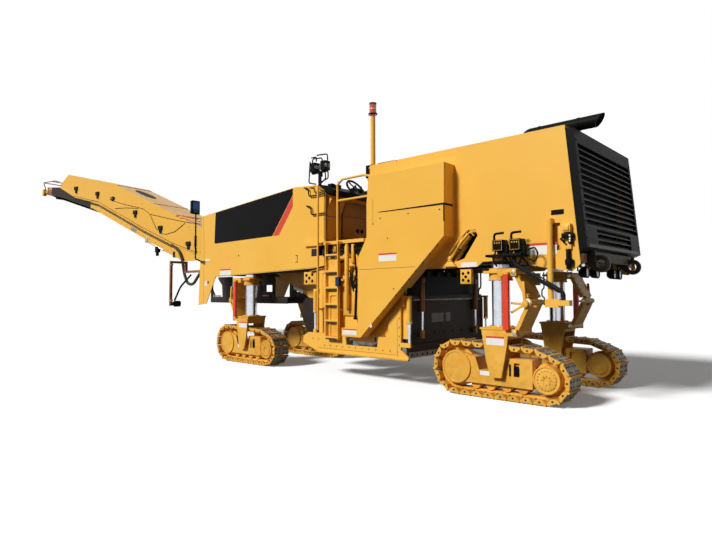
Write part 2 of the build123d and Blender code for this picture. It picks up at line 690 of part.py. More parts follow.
def conveyor_hood():
    cover = profile(HOOD_SIDE, -BOOM_HALF, BOOM_HALF)
    inside = [
        (200, 2450), (3830, 3952), (5822, 4410), (6400, 4190), (5495, 3700),
        (4295, 3400), (2645, 2650), (1505, 2200), (845, 2000), (200, 1900),
    ]
    return cover - profile(inside, SKIN - BOOM_HALF, BOOM_HALF - SKIN)


def conveyor_frame():
    """Side beams, cross members and rollers that carry the belt."""
    side = [
        (-330, 1900), (-330, 2110), (TAIL[0], TAIL[1] + 125), (4295, 3540),
        (5495, 3820), (6860, 4190), (6860, 3980), (6205, 3860), (4700, 3420), (1285, 1970), (300, 1970), (0, 1870),
    ]
    y0, y1 = BOOM_HALF - SKIN - BOOM_SIDE - 1, BOOM_HALF - SKIN - 1
    beam = profile(side, y0, y1) - pin(0, LIFT_Z, LIFT_PIN_R + PIN_FIT, y0 - 1, y1 + 1)
    frame = both(beam)
    frame += rollers([TAIL, BEND, HEAD], y0, (0.25, 0.5, 0.75))
    x, z = CYLINDER_EYE
    frame += slab(x - 60, x + 60, -y0, y0, z + 60, z + 90)
    for y in (-CYLINDER_R - 32, CYLINDER_R + 4):
        frame += slab(x - 40, x + 40, y, y + 28, z - 40, z + 60)
    return frame


def nose():
    """Carrier ahead of the head roller with its wire guard."""
    arms = both(slab(6860, 7340, 300, 340, 4090, 4150))
    arms += slab(6845, 6860, -BOOM_HALF + 60, BOOM_HALF - 60, 4040, 4180)
    arms += slab(7280, 7340, -300, 300, 4090, 4150)
    arms += pin(7180, 4110, 60, -300, 300)
    return arms


def turret():
    base = slab(-120, 120, -570, 570, TURRET_LOW, TURRET_LOW + 40)
    base += rod((0, 0, BEAM_LOW), (0, 0, TURRET_LOW), 60)
    for y in (-566, BOOM_HALF + 8):
        base += slab(-90, 90, y, y + 58, 1800, 2010)
    y1 = BOOM_HALF + 8
    base += both(pin(0, LIFT_Z, LIFT_PIN_R, BOOM_HALF - SKIN - BOOM_SIDE - 1, y1 + 30))
    x, z = CYLINDER_FOOT
    ear = slab(150, x + 40, CYLINDER_R + 4, CYLINDER_R + 32, z - 40, 1790)
    ear += slab(100, 150, CYLINDER_R + 4, CYLINDER_R + 32, TURRET_LOW, 1790)
    base += both(ear) + pin(x, z, 22, -CYLINDER_R - 4, CYLINDER_R + 4)
    return base


def cylinder():
    """Lift cylinder: barrel from the turret's foot, rod to the eye under the boom."""
    (x0, z0), (x1, z1) = CYLINDER_FOOT, CYLINDER_EYE
    length = hypot(x1 - x0, z1 - z0)
    ux, uz = (x1 - x0) / length, (z1 - z0) / length

    def at(s):
        return (x0 + ux * s, 0, z0 + uz * s)

    barrel = pin(x0, z0, 42, 1 - CYLINDER_R, CYLINDER_R - 1) + rod(at(20), at(1500), CYLINDER_R)
    barrel -= rod(at(200), at(1501), 28 + SLIDE_FIT)
    barrel -= pin(x0, z0, 22 + PIN_FIT, -CYLINDER_R - 1, CYLINDER_R + 1)
    shaft = rod(at(1100), at(length - 30), 28) + pin(x1, z1, 38, 1 - CYLINDER_R, CYLINDER_R - 1)
    return barrel, shaft


def swing_beam():
    """Cross beam between the front cheeks that the turret turns on."""
    beam = slab(SWING_X - 80, SWING_X + 30, PANEL - HALF_WIDTH, HALF_WIDTH - PANEL, BEAM_LOW, TURRET_LOW - 5)
    return beam - rod((SWING_X, 0, 1600), (SWING_X, 0, 1800), 60.4)


# ---- fittings ----
def ladder():
    """Steps up to the deck, on brackets from the housing's end plate and the deck's edge."""
    y0, y1 = LADDER_Y - 20, LADDER_Y + 30
    steps = Part()
    for x in LADDER_X:
        steps += slab(x - 8, x + 8, y0, y1, LADDER_LOW, DECK_TOP - 25)
        steps += slab(x - 8, x + 8, HALF_WIDTH + 40, y0, DECK_TOP - 50, DECK_TOP - 25)
        steps += slab(x - 8, x + 8, HOUSING_IN + END_PLATE, y0, 1000, 1030)
    for i in range(6):
        z = LADDER_LOW + 20 + i * RUNG_STEP
        steps += slab(LADDER_X[0], LADDER_X[1], y0, y1, z, z + 26)
    return both(steps)


HOOP_X = 2630


def handrails():
    y = HALF_WIDTH + 20
    x = HOOP_X
    bend = [(x, y, DECK_TOP), (x, y, 2915), (x - 100, y, 2988), (2100, y, 2990), (1850, y, 2935)]
    hoop = tube(bend, RAIL_R, 60)
    hoop += rod((1860, y, 2937), (1860, HALF_WIDTH, 2937), RAIL_R)
    hoop += rod((x, y, 2670), (1972, y, 2670), RAIL_R)
    hoop += rod((1970, y + RAIL_R + 4, 2670), (1970, HALF_WIDTH, 2670), RAIL_R + 3)
    x, out = 2960, LADDER_Y + 5
    front = tube([(x, out, 700), (x, out, 2940), (3180, out, 2940), (3180, HALF_WIDTH, 2940)], RAIL_R, 50)
    for z, wall in ((2030, HALF_WIDTH + 40), (1015, HOUSING_IN + END_PLATE)):
        front += slab(x - 10, x + 10, wall, out, z - 15, z + 15)
    return both(hoop + front)


def dash():
    """Instrument desk along the top of the well's front wall, with a steering wheel at each end."""
    face_x = WELL_WALL[0] + 0.96
    outline = [(2890, 2850), (face_x, 2850), WELL_WALL, (3178, 2982), (3168, 3016), (3040, 2990), (2890, 2905)]
    desk = profile(outline, -820, 820)
    for y in (-400, 400):
        desk += rod((2920, y, 2880), (2800, y, 2965), 20)
        desk += Plane(origin=(2800, y, 2965), z_dir=(-120, 0, 85)).location * steering_wheel()
    return desk


def steering_wheel():
    wheel = Cylinder(180, 24) - Cylinder(154, 26) + Cylinder(46, 24)
    for angle in (90, 210, 330):
        wheel += Rot(0, 0, angle) * (Pos(102, 0, 0) * Box(124, 28, 12))
    return wheel


def seats():
    out = Part()
    for y in (-430, 430):
        out += slab(2010, 2060, y - 200, y + 200, 2560, 2990)
        out += slab(2040, 2340, y - 200, y + 200, 2470, 2560)
        out += slab(2090, 2290, y - 90, y + 90, DECK_TOP, 2470)
    return out


def beacon():
    x, y = MAST
    base = slab(1990, x + 40, y - 45, y + 45, 2900, 3070) + rod((x, y, 3070), (x, y, 3900), 36)
    lens = rod((x, y, 3900), (x, y, 3930), 62) + rod((x, y, 3930), (x, y, 4080), 52)
    return base, lens


def mirrors():
    head = slab(6600, 6640, 960, 1090, 2860, 3130)
    arm = tube([(6380, HALF_WIDTH, 1890), (6380, 1030, 1890), (6620, 1030, 1960), (6620, 1030, 2870)], 14, 40)
    return both(head + arm)


def work_lamps():
    out = Part()
    for x in (3200, 3440):
        out += slab(x - 60, x + 50, 640, 760, 3280, 3430)
    out += slab(3290, 3350, 690, 710, 3000, 3250) + slab(3140, 3500, 680, 720, 3250, 3282)
    return out


def pods():
    """Ground-level control stations at the rear corners."""
    out = slab(-420, 20, HALF_WIDTH, HALF_WIDTH + 180, 1680, 1704)
    for x in (-345, -130):
        out += slab(x - 65, x + 65, HALF_WIDTH + 70, HALF_WIDTH + 180, 1745, 1870)
        out += rod((x, HALF_WIDTH + 120, 1700), (x, HALF_WIDTH + 120, 1745), 22)
    return both(out)


def rear_post():
    """Post at the left rear corner with its foot plates."""
    x, y = -695, HALF_WIDTH + 40
    post = rod((x, y, 1100), (x, y, 2080), 32)
    post += slab(x - 32, x + 32, HALF_WIDTH, y, 2020, 2080) + slab(x - 32, x + 32, HALF_WIDTH, y, 1640, 1700)
    post += slab(-800, -640, y - 30, y + 36, 1100, 1190)
    return post + slab(-930, -790, y, y + 85, 1120, 1180)


def rear_hose():
    """Corrugated hose from the left control pod down to the post's foot."""
    y = HALF_WIDTH + 105
    path = [(-300, y, 1679.5), (-300, y, 1600), (-590, y, 1400), (-862, y, 1262), (-862, y, 1180.5)]
    return tube(path, 22, 60)


def front_guide():
    """Sight frame ahead of the left front corner."""
    y, bar = HALF_WIDTH - 30, 46
    arm = slab(SWING_X + 30, 7210, y - bar, y, 1690, 1690 + bar)
    arm += slab(7210 - bar, 7210, y - bar, y, 1690, 1930)
    arm += slab(7210 - bar, 7210, y, 1270, 1930 - bar, 1930)
    arm += slab(7210 - bar, 7210, 1270 - bar, 1270, 1010, 1930)
    arm += rod((7187, 1060, 1050), (7187, 1247, 1050), 16) + rod((7187, 1060, 1050), (7187, 1150, 1050), 50)
    return arm


def slot_cylinder():
    """Cylinder in the side panel's slot."""
    out = rod((590, HALF_WIDTH - 50, 1640), (430, HALF_WIDTH - 50, 1860), 34)
    out += rod((430, HALF_WIDTH - 50, 1860), (320, HALF_WIDTH - 50, 2020), 20)
    out += slab(540, 640, BEAM_OUT, HALF_WIDTH - 10, BODY_LOW + 50, 1660)
    out += slab(240, 360, BEAM_OUT, HALF_WIDTH - 10, 2000, 2040)
    return out


def main():
    os.makedirs("parts", exist_ok=True)
    legs()
    write("chassis", chassis() + tow_lugs() + swing_beam())
    write("front_body", front_body())
    write("rear_body", rear_body() + fixed_top())
    write("engine_hood", engine_hood())
    frame, slats = grille()
    write("grille", frame + slats)
    write("engine", *engine())
    write("exhaust", exhaust())
    write("deck", deck())
    write("ladders", ladder() + handrails())
    write("consoles", dash(), seats())
    write("belt_guard", belt_guard())
    write("drum_housing", housing(), mold_guides())
    write("drum", drum())
    plate = side_plate()
    write("side_plate_left", plate)
    write("side_plate_right", mirror(plate, about=Plane.XZ))
    write("side_lifts", side_lifts(), slot_cylinder())
    write("moldboard", moldboard())
    frame, loop = collecting_conveyor()
    write("collecting_frame", frame)
    write("collecting_belt", loop)
    write("conveyor_hood", swung(conveyor_hood()))
    write("conveyor_frame", swung(conveyor_frame() + nose()))
    write("conveyor_belt", swung(belt([TAIL, BEND, HEAD], BELT_HALF)))
    write("turret", swung(turret()))
    barrel, shaft = cylinder()
    write("lift_barrel", swung(barrel))
    write("lift_rod", swung(shaft))
    mast, lens = beacon()
    write("beacon_mast", mast)
    write("beacon_lens", lens)
    write("mirrors", mirrors())
    write("work_lamps", work_lamps())
    write("control_pods", pods(), rear_post())
    write("rear_hose", rear_hose())
    write("front_guide", front_guide())


main()
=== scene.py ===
from math import cos, hypot, pi, radians, sin

import bmesh
import bpy
from mathutils import Matrix, Vector


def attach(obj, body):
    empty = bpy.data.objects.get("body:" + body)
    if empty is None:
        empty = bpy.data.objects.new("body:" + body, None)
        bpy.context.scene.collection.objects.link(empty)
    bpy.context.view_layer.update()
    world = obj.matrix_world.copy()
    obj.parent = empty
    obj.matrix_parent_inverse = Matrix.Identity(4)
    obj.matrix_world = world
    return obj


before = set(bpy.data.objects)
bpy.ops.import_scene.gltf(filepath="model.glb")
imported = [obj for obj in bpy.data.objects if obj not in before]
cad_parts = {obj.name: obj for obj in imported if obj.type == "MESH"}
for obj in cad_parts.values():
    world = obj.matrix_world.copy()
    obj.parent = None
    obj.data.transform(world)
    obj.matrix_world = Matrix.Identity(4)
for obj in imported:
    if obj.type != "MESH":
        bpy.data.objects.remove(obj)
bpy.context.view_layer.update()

# Sizes are in mm on the machine's own axes: X forward from the rear legs, Y to the left,
# Z up from the ground.
ORIGIN = Vector((6297, 300, 0))
SWING_X = 6500
SWING = radians(10.45)
HALF_WIDTH = 960
HALF_GAUGE = 820
WHEELBASE = 5020

# Scissor links of each leg: pivots and knee out from the column, and the two pivots' heights
LINK_OUT = 262
KNEE_OUT = 432
LINK_TOP = 1500
LINK_LOW = 800

LEGS = (
    # name, axle x, side, way the links point
    ("rear_left", 0, 1, -1),
    ("rear_right", 0, -1, -1),
    ("front_left", WHEELBASE, 1, 1),
    ("front_right", WHEELBASE, -1, 1),
)


# ---- places ----
def machine(x, y, z):
    return (Vector((x, y, z)) - ORIGIN) / 1000


def boom(s, y, z):
    """A point given straight ahead from the conveyor's swing pivot."""
    return machine(SWING_X + s * cos(SWING) - y * sin(SWING), s * sin(SWING) + y * cos(SWING), z)


def leg(x0, side):
    return lambda x, y, z: machine(x0 + x, side * (HALF_GAUGE + y), z)


def right(place):
    return lambda x, y, z: place(x, -y, z)


# ---- finishes ----
def linear(code):
    """An sRGB hex colour as linear RGBA."""
    parts = [int(code[i:i + 2], 16) / 255 for i in (1, 3, 5)]
    return tuple(c / 12.92 if c <= 0.04045 else ((c + 0.055) / 1.055) ** 2.4 for c in parts) + (1,)


def add(tree, kind, inputs=None, **settings):
    """A node with its settings and what feeds its sockets."""
    node = tree.nodes.new(kind)
    for key, value in settings.items():
        setattr(node, key, value)
    for key, value in (inputs or {}).items():
        if isinstance(value, bpy.types.NodeSocket):
            tree.links.new(value, node.inputs[key])
        else:
            node.inputs[key].default_value = value
    return node


def per_metre(size_mm):
    return 1000 / size_mm


def ramp(tree, source, low, high):
    """A clean 0..1 mask that rises from low to high."""
    return add(tree, "ShaderNodeMapRange", {"Value": source, "From Min": low, "From Max": high}).outputs[0]


def surface(name, colour, shade, rough, patch=600, grain=3, relief=0.02, metallic=0.0, edge_tone=None, dirt=None,
        coat=0.0, spread=0.10,
            shine=0.4):
    """A finish. patch and grain are the mm size of its cloudiness and its texture, edge_tone the colour that
    shows on edges (worn paint on most finishes, a painted highlight on the yellow enamel), dirt = (colour,
    clean height in mm, amount) the dust that builds up towards the ground."""
    mat = bpy.data.materials.new(name)
    mat.use_nodes = True
    tree = mat.node_tree
    shader = tree.nodes["Principled BSDF"]
    place = add(tree, "ShaderNodeTexCoord").outputs["Object"]
    cloud = add(tree, "ShaderNodeTexNoise", {"Vector": place, "Scale": per_metre(patch), "Detail": 4.0,
        "Roughness": 0.6}).outputs[0]
    fine = add(tree, "ShaderNodeTexNoise", {"Vector": place, "Scale": per_metre(grain),
        "Detail": 3.0}).outputs[0]
    tone = add(tree, "ShaderNodeMix", {"Factor": ramp(tree, cloud, 0.35, 0.7), "A": linear(colour),
        "B": linear(shade)}, data_type="RGBA").outputs[2]
    gloss = add(tree, "ShaderNodeMapRange", {"Value": cloud, "From Min": 0.3, "From Max": 0.7,
        "To Min": rough - spread / 2, "To Max": rough + spread / 2}).outputs[0]
    soft = add(tree, "ShaderNodeBevel", {"Radius": 0.004}, samples=4).outputs[0]
    # edge colour from the bevel: worn paint on most finishes, a painted highlight on the yellow enamel
    if edge_tone:
        facing = add(tree, "ShaderNodeVectorMath",
            {0: soft, 1: add(tree, "ShaderNodeNewGeometry").outputs["Normal"]},
            operation="DOT_PRODUCT").outputs["Value"]
        edge_breakup = add(tree, "ShaderNodeTexNoise", {"Vector": place, "Scale": per_metre(28),
            "Detail": 4.0}).outputs[0]
        edge = add(tree, "ShaderNodeMath", {0: ramp(tree, facing, 0.985, 0.86),
            1: ramp(tree, edge_breakup, 0.45, 0.6)}, operation="MULTIPLY").outputs[0]
        tone = add(tree, "ShaderNodeMix", {"Factor": edge, "A": tone, "B": linear(edge_tone)},
            data_type="RGBA").outputs[2]
    if dirt:
        dust, height, amount = dirt
        z = add(tree, "ShaderNodeSeparateXYZ", {"Vector": place}).outputs[2]
        low = ramp(tree, z, height / 1000, 0.0)
        speck = add(tree, "ShaderNodeTexNoise", {"Vector": place, "Scale": per_metre(90), "Detail": 6.0,
            "Roughness": 0.7}).outputs[0]
        mask = add(tree, "ShaderNodeMath", {0: low, 1: ramp(tree, speck, 0.38, 0.68)},
            operation="MULTIPLY").outputs[0]
        mask = add(tree, "ShaderNodeMath", {0: mask, 1: amount}, operation="MULTIPLY").outputs[0]
        tone = add(tree, "ShaderNodeMix", {"Factor": mask, "A": tone, "B": linear(dust)},
            data_type="RGBA").outputs[2]
        gloss = add(tree, "ShaderNodeMix", {"Factor": mask, "A": gloss, "B": 0.85},
            data_type="FLOAT").outputs[0]
    bump = add(tree, "ShaderNodeBump", {"Height": fine, "Strength": 0.35, "Distance": relief / 1000,
        "Normal": soft})
    tree.links.new(tone, shader.inputs["Base Color"])
    tree.links.new(gloss, shader.inputs["Roughness"])
    tree.links.new(bump.outputs[0], shader.inputs["Normal"])
    shader.inputs["Metallic"].default_value = metallic
    shader.inputs["Coat Weight"].default_value = coat
    shader.inputs["Specular IOR Level"].default_value = shine
    shader.inputs["Coat Roughness"].default_value = 0.12
    return mat


# Sprayed machine enamel: warm, even, a soft sheen with a faint orange peel and a pale painted highlight along
# its edges
yellow = surface("sprayed_enamel_yellow", "#F6BC4C", "#F1B545", 0.36, patch=900, grain=2.5, relief=0.03,
    edge_tone="#FBD58A", coat=0.03, shine=0.25)
# The same enamel on castings near the ground: chipped at its edges and dusty low down
leg_yellow = surface("sprayed_enamel_yellow_worn", "#F3B94C", "#E2A233", 0.45, patch=260, grain=4,
    relief=0.06, edge_tone="#8A6128", dirt=("#8E6B3A", 760, 0.5), coat=0.02, shine=0.25)
# Powder coat: black with a fine satin grain
black = surface("satin_powder_coat_black", "#060606", "#0C0B0A", 0.5, patch=500, grain=2, relief=0.05,
    edge_tone="#2E2D2B", shine=0.06)
# Chassis enamel: brown-black, matt with road dust
underbody = surface("chassis_enamel_dark", "#1A1410", "#271C14", 0.6, patch=260, grain=5, relief=0.1,
    dirt=("#3E3022", 1500, 0.4), shine=0.2)
# Hard chrome: mirror-like with faint oil streaks
chrome = surface("hard_chrome", "#DDE1E8", "#C4C9D2", 0.24, patch=200, grain=8, relief=0.004, metallic=1.0,
    spread=0.08)
# Machined and worn steel: grey with scratches
steel = surface("worn_steel", "#8C8882", "#5E5A55", 0.38, patch=60, grain=2, relief=0.08, metallic=1.0,
    spread=0.2)
# Zinc plated screws: pale grey, slightly warm
zinc = surface("zinc_plated_steel", "#B9B29E", "#8F8A7C", 0.35, patch=30, grain=1.5, relief=0.02,
    metallic=1.0)
# Moulded rubber: dull black with a soft bloom
rubber = surface("moulded_rubber", "#0E0E11", "#17171A", 0.72, patch=200, grain=3, relief=0.15, shine=0.15)
# Safety paint: orange red, glossy
red = surface("safety_enamel_red", "#E8401F", "#D4391C", 0.35, patch=300, grain=2.5, relief=0.03,
    edge_tone="#7A2A18")
# Guide frame's enamel: burnt orange, semi-matt
burnt = surface("guide_enamel_burnt_orange", "#9C5A22", "#7E4618", 0.5, patch=250, grain=3, relief=0.05,
    edge_tone="#4A2C14")
# Interior enamel: the same yellow, less glossy and darkened to ochre as painted shade in the operator's well
shaded_well_yellow = surface("well_yellow_painted_shade", "#B98234", "#A06F2B", 0.6, patch=500, grain=3, relief=0.05)
# Printed vinyl: white film, slightly glossy
vinyl = surface("vinyl_film_white", "#F1EFE8", "#E7E3DA", 0.4, patch=150, grain=2, relief=0.01)
vinyl_red = surface("vinyl_film_red", "#D8402A", "#C93A26", 0.4, patch=150, grain=2, relief=0.01)
vinyl_black = surface("vinyl_film_black", "#08080A", "#0D0D0F", 0.45, patch=400, grain=2, relief=0.01,
    shine=0.05)
vinyl_grey = surface("vinyl_film_grey", "#8D8B88", "#7C7A77", 0.5, patch=120, grain=2, relief=0.01)
# Gap lines between panels: shadow brown where dust settles, also used for the painted shade under the
# ladder's rungs
gap_and_shade_brown = surface("panel_gap_shadow", "#3A2712", "#2B1C0C", 0.8, patch=80, grain=3, relief=0.02)
# Rubbed shoe faces: enamel worn through to dull grey steel
shoe_steel = surface("worn_shoe_steel", "#A39D90", "#7D7565", 0.55, patch=60, grain=3, relief=0.2,
    metallic=0.15, spread=0.2, dirt=("#8E7A55", 900, 0.4))
# Hydraulic hose: synthetic rubber cover with a dull sheen
hose = surface("hydraulic_hose_cover", "#0C0C0C", "#171615", 0.5, patch=60, grain=2, relief=0.08, shine=0.2)
# Thick hose at the conveyor's tail: rubber gone grey-brown with dust
worn_hose = surface("dusty_hose_cover", "#5A5044", "#3C352C", 0.7, patch=90, grain=3, relief=0.1, shine=0.2)
# Louvre edges: a dull grey line painted on the black coat as a highlight along each lit edge
louvre_highlight_grey = surface("louvre_edge_painted_highlight", "#4A4946", "#3A3937", 0.5, patch=120, grain=2, relief=0.03, shine=0.2)
# Galvanised bare plate: flat pale grey
plate_grey = surface("bare_maker_plate", "#8E8D86", "#7D7C76", 0.45, patch=60, grain=2, relief=0.02,
    metallic=0.3)
# Moulded lens: saturated amber with light in its depth
amber = surface("moulded_lens_amber", "#E8501A", "#C93E10", 0.18, patch=80, grain=4, relief=0.02, coat=0.5)
amber.node_tree.nodes["Principled BSDF"].inputs["Transmission Weight"].default_value = 0.35
amber.node_tree.nodes["Principled BSDF"].inputs["IOR"].default_value = 1.58
# Float glass over silvering: cool and dark
mirror_glass = surface("silvered_glass", "#2C4670", "#20365A", 0.06, patch=400, grain=20, relief=0.002,
    metallic=0.8, spread=0.02)
# Pressed lamp glass: clear grey with fluting
lamp_glass = surface("pressed_lamp_glass", "#B9C2C9", "#98A2AA", 0.12, patch=30, grain=6, relief=0.1,
    coat=0.6)
# Vinyl upholstery: black with a leather grain
upholstery = surface("vinyl_upholstery", "#1B1B1C", "#262626", 0.55, patch=200, grain=2.5, relief=0.25)

FINISH_OF = {
    yellow: ("front_body", "rear_body", "engine_hood", "belt_guard", "drum_housing", "side_plate_left",
    "side_plate_right",
             "deck", "ladders", "conveyor_hood", "conveyor_frame", "collecting_frame", "beacon_mast",
             "control_pods",
             "side_lifts"),
    black: ("grille", "exhaust", "consoles", "mirrors", "work_lamps", "engine"),
    underbody: ("chassis", "moldboard", "turret", "lift_barrel"),
    rubber: ("collecting_belt", "conveyor_belt", "rear_hose"),
    steel: ("drum",),
    chrome: ("lift_rod",),
    amber: ("beacon_lens",),
    burnt: ("front_guide",),
}
for mat, nodes in FINISH_OF.items():
    for node in nodes:
        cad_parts[node].data.materials.clear()
        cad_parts[node].data.materials.append(mat)
for name, x, side, way in LEGS:
    for part, mat in (("collar", leg_yellow), ("lock", red), ("carrier", leg_yellow), ("column", chrome),
                      ("track", leg_yellow), ("link_upper", leg_yellow), ("link_lower", leg_yellow)):
        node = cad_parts[f"{part}_{name}"]
        node.data.materials.clear()
        node.data.materials.append(mat)


# ---- shapes ----
class Piece:
    """One mesh of one finish that rides on one body."""

    def __init__(self, name, body, mat, place=machine, bevel=1.5):
        self.name, self.body, self.mat, self.place, self.bevel = name, body, mat, place, bevel
        self.bm = bmesh.new()

    def loft(self, rings):
        """A closed solid through rings of points, capped at its ends."""
        rows = [[self.bm.verts.new(p) for p in ring] for ring in rings]
        n = len(rows[0])
        for a, b in zip(rows, rows[1:]):
            for i in range(n):
                self.bm.faces.new((a[i], a[(i + 1) % n], b[(i + 1) % n], b[i]))
        self.bm.faces.new(rows[0][::-1])
        self.bm.faces.new(rows[-1])
        return self

    def box(self, x0, x1, y0, y1, z0, z1):
        ring = [(x0, y0), (x1, y0), (x1, y1), (x0, y1)]
        return self.loft([[self.place(x, y, z) for x, y in ring] for z in (z0, z1)])

    def side(self, points, y0, y1):
        """A side profile of (x, z) points carried from y0 to y1."""
        return self.loft([[self.place(x, y, z) for x, z in points] for y in (y0, y1)])

    def rod(self, a, b, r, r2=None, n=16):
        a, b = self.place(*a), self.place(*b)
        up = (b - a).normalized()
        u = up.orthogonal().normalized()
        v = up.cross(u)
        rings = []
        for p, radius in ((a, r), (b, r if r2 is None else r2)):
            rings.append([p + (u * cos(t) + v * sin(t)) * radius / 1000
                for t in (2 * pi * i / n for i in range(n))])
        return self.loft(rings)

    def ring(self, centre, axis, r, inner, thick, n=24):
        """A flat washer or rim about axis, thick along it from centre."""
        c = self.place(*centre)
        d = (self.place(*(Vector(centre) + Vector(axis))) - c).normalized()
        u = d.orthogonal().normalized()
        v = d.cross(u)
        rows = []
        for radius, h in ((r, 0), (r, thick), (inner, thick), (inner, 0)):
            rows.append([self.bm.verts.new(c + d * h / 1000 + (u * cos(t) + v * sin(t)) * radius / 1000)
                for t in (2 * pi * i / n for i in range(n))])
        for a, b in zip(rows, rows[1:] + rows[:1]):
            for i in range(n):
                self.bm.faces.new((a[i], a[(i + 1) % n], b[(i + 1) % n], b[i]))
        return self

    def pipe(self, points, r, n=10, bend=6, turn=None):
        """A round bar along points, each corner turned in a few steps over turn mm."""
        pts = [self.place(*p) for p in points]
        path = [pts[0]]
        for a, b, c in zip(pts, pts[1:], pts[2:]):
            cut = min((b - a).length, (c - b).length, (turn or 8 * r) / 1000) * 0.45
            p, q = b + (a - b).normalized() * cut, b + (c - b).normalized() * cut
            path += [p.lerp(b, t).lerp(b.lerp(q, t), t) for t in (i / bend for i in range(bend + 1))]
        path.append(pts[-1])
        rings, u = [], None
        for i, p in enumerate(path):
            d = (path[min(i + 1, len(path) - 1)] - path[max(i - 1, 0)]).normalized()
            u = d.orthogonal().normalized() if u is None else (u - d * u.dot(d)).normalized()
            v = d.cross(u)
            rings.append([p + (u * cos(t) + v * sin(t)) * r / 1000
                for t in (2 * pi * k / n for k in range(n))])
        return self.loft(rings)

    def both(self):
        """The same piece on the machine's right."""
        made = self.bm.copy()
        flip = Matrix.Diagonal((1, -1, 1)).to_4x4()
        shift = 2 * ORIGIN.y / 1000
        bmesh.ops.transform(made, matrix=Matrix.Translation((0, -shift, 0)) @ flip, verts=made.verts)
        mesh = bpy.data.meshes.new("half")
        made.to_mesh(mesh)
        self.bm.from_mesh(mesh)
        bpy.data.meshes.remove(mesh)
        made.free()
        return self

    def done(self, smooth=35):
        bmesh.ops.recalc_face_normals(self.bm, faces=self.bm.faces)
        mesh = bpy.data.meshes.new(self.name)
        self.bm.to_mesh(mesh)
        self.bm.free()
        obj = bpy.data.objects.new(self.name, mesh)
        bpy.context.scene.collection.objects.link(obj)
        if self.bevel:
            mod = obj.modifiers.new("edge", "BEVEL")
            mod.width, mod.segments = self.bevel / 1000, 2
            mod.limit_method, mod.angle_limit = "ANGLE", radians(40)
            depsgraph = bpy.context.evaluated_depsgraph_get()
            baked = bpy.data.meshes.new_from_object(obj.evaluated_get(depsgraph))
            obj.modifiers.clear()
            obj.data = baked
        for face in obj.data.polygons:
            face.use_smooth = True
        obj.data.set_sharp_from_angle(angle=radians(smooth))
        obj.data.materials.clear()
        obj.data.materials.append(self.mat)
        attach(obj, self.body)
        return obj


# ---- bolts ----
def bolt_tree():
    """Geometry Nodes: a hexagon head on a washer at each point, turned to the point's own direction."""
    tree = bpy.data.node_groups.new("hex_bolts", "GeometryNodeTree")
    face = tree.interface
    face.new_socket("Points", in_out="INPUT", socket_type="NodeSocketGeometry")
    for name, value in (("Head radius", 0.009), ("Head height", 0.007), ("Washer radius", 0.013)):
        face.new_socket(name, in_out="INPUT", socket_type="NodeSocketFloat").default_value = value
    face.new_socket("Finish", in_out="INPUT", socket_type="NodeSocketMaterial")
    face.new_socket("Bolts", in_out="OUTPUT", socket_type="NodeSocketGeometry")
    put = add(tree, "NodeGroupInput")
    out = put.outputs
    head = add(tree, "GeometryNodeMeshCylinder", {"Vertices": 6, "Radius": out["Head radius"],
        "Depth": out["Head height"]})
    half = add(tree, "ShaderNodeMath", {0: out["Head height"], 1: 0.5}, operation="MULTIPLY")
    rise = add(tree, "ShaderNodeCombineXYZ", {"Z": half.outputs[0]})
    head = add(tree, "GeometryNodeTransform", {"Geometry": head.outputs[0], "Translation": rise.outputs[0]})
    washer = add(tree, "GeometryNodeMeshCylinder",
        {"Vertices": 12, "Radius": out["Washer radius"], "Depth": 0.003})
    join = add(tree, "GeometryNodeJoinGeometry")
    tree.links.new(head.outputs[0], join.inputs[0])
    tree.links.new(washer.outputs[0], join.inputs[0])
    way = add(tree, "GeometryNodeInputNamedAttribute", {"Name": "way"}, data_type="FLOAT_VECTOR")
    turn = add(tree, "FunctionNodeAlignRotationToVector", {"Vector": way.outputs[0]}, axis="Z")
    points = add(tree, "GeometryNodeMeshToPoints", {"Mesh": out["Points"]})
    spread = add(tree, "GeometryNodeInstanceOnPoints",
        {"Points": points.outputs[0], "Instance": join.outputs[0], "Rotation": turn.outputs[0]})
    real = add(tree, "GeometryNodeRealizeInstances", {"Geometry": spread.outputs[0]})
    coat = add(tree, "GeometryNodeSetMaterial", {"Geometry": real.outputs[0], "Material": out["Finish"]})
    add(tree, "NodeGroupOutput", {"Bolts": coat.outputs[0]})
    return tree


BOLTS = bolt_tree()


def bolts(name, body, spots, mat, radius=9, place=machine):
    """Hex bolts at spots, each a point and the direction it faces."""
    mesh = bpy.data.meshes.new(name)
    mesh.from_pydata([place(*p) for p, way in spots], [], [])
    ways = mesh.attributes.new("way", "FLOAT_VECTOR", "POINT")
    for i, (p, way) in enumerate(spots):
        ways.data[i].vector = (place(*(Vector(p) + Vector(way))) - place(*p)).normalized()
    obj = bpy.data.objects.new(name, mesh)
    bpy.context.scene.collection.objects.link(obj)
    mod = obj.modifiers.new("bolts", "NODES")
    mod.node_group = BOLTS
    ids = {s.name: s.identifier for s in BOLTS.interface.items_tree if s.in_out == "INPUT"}
    mod[ids["Head radius"]] = radius / 1000
    mod[ids["Head height"]] = radius * 0.8 / 1000
    mod[ids["Washer radius"]] = radius * 1.5 / 1000
    mod[ids["Finish"]] = mat
    made = bpy.data.meshes.new_from_object(obj.evaluated_get(bpy.context.evaluated_depsgraph_get()))
    obj.modifiers.clear()
    obj.data = made
    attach(obj, body)
    return obj


# ---- flat marks on panels ----
def rect(x0, z0, x1, z1):
    return [(x0, z0), (x1, z0), (x1, z1), (x0, z1)]


def strip(a, b, wide=5):
    """A narrow band from a to b, as (x, z)."""
    d = hypot(b[0] - a[0], b[1] - a[1])
    nx, nz = -(b[1] - a[1]) / d * wide / 2, (b[0] - a[0]) / d * wide / 2
    return [(a[0] + nx, a[1] + nz), (b[0] + nx, b[1] + nz), (b[0] - nx, b[1] - nz), (a[0] - nx, a[1] - nz)]


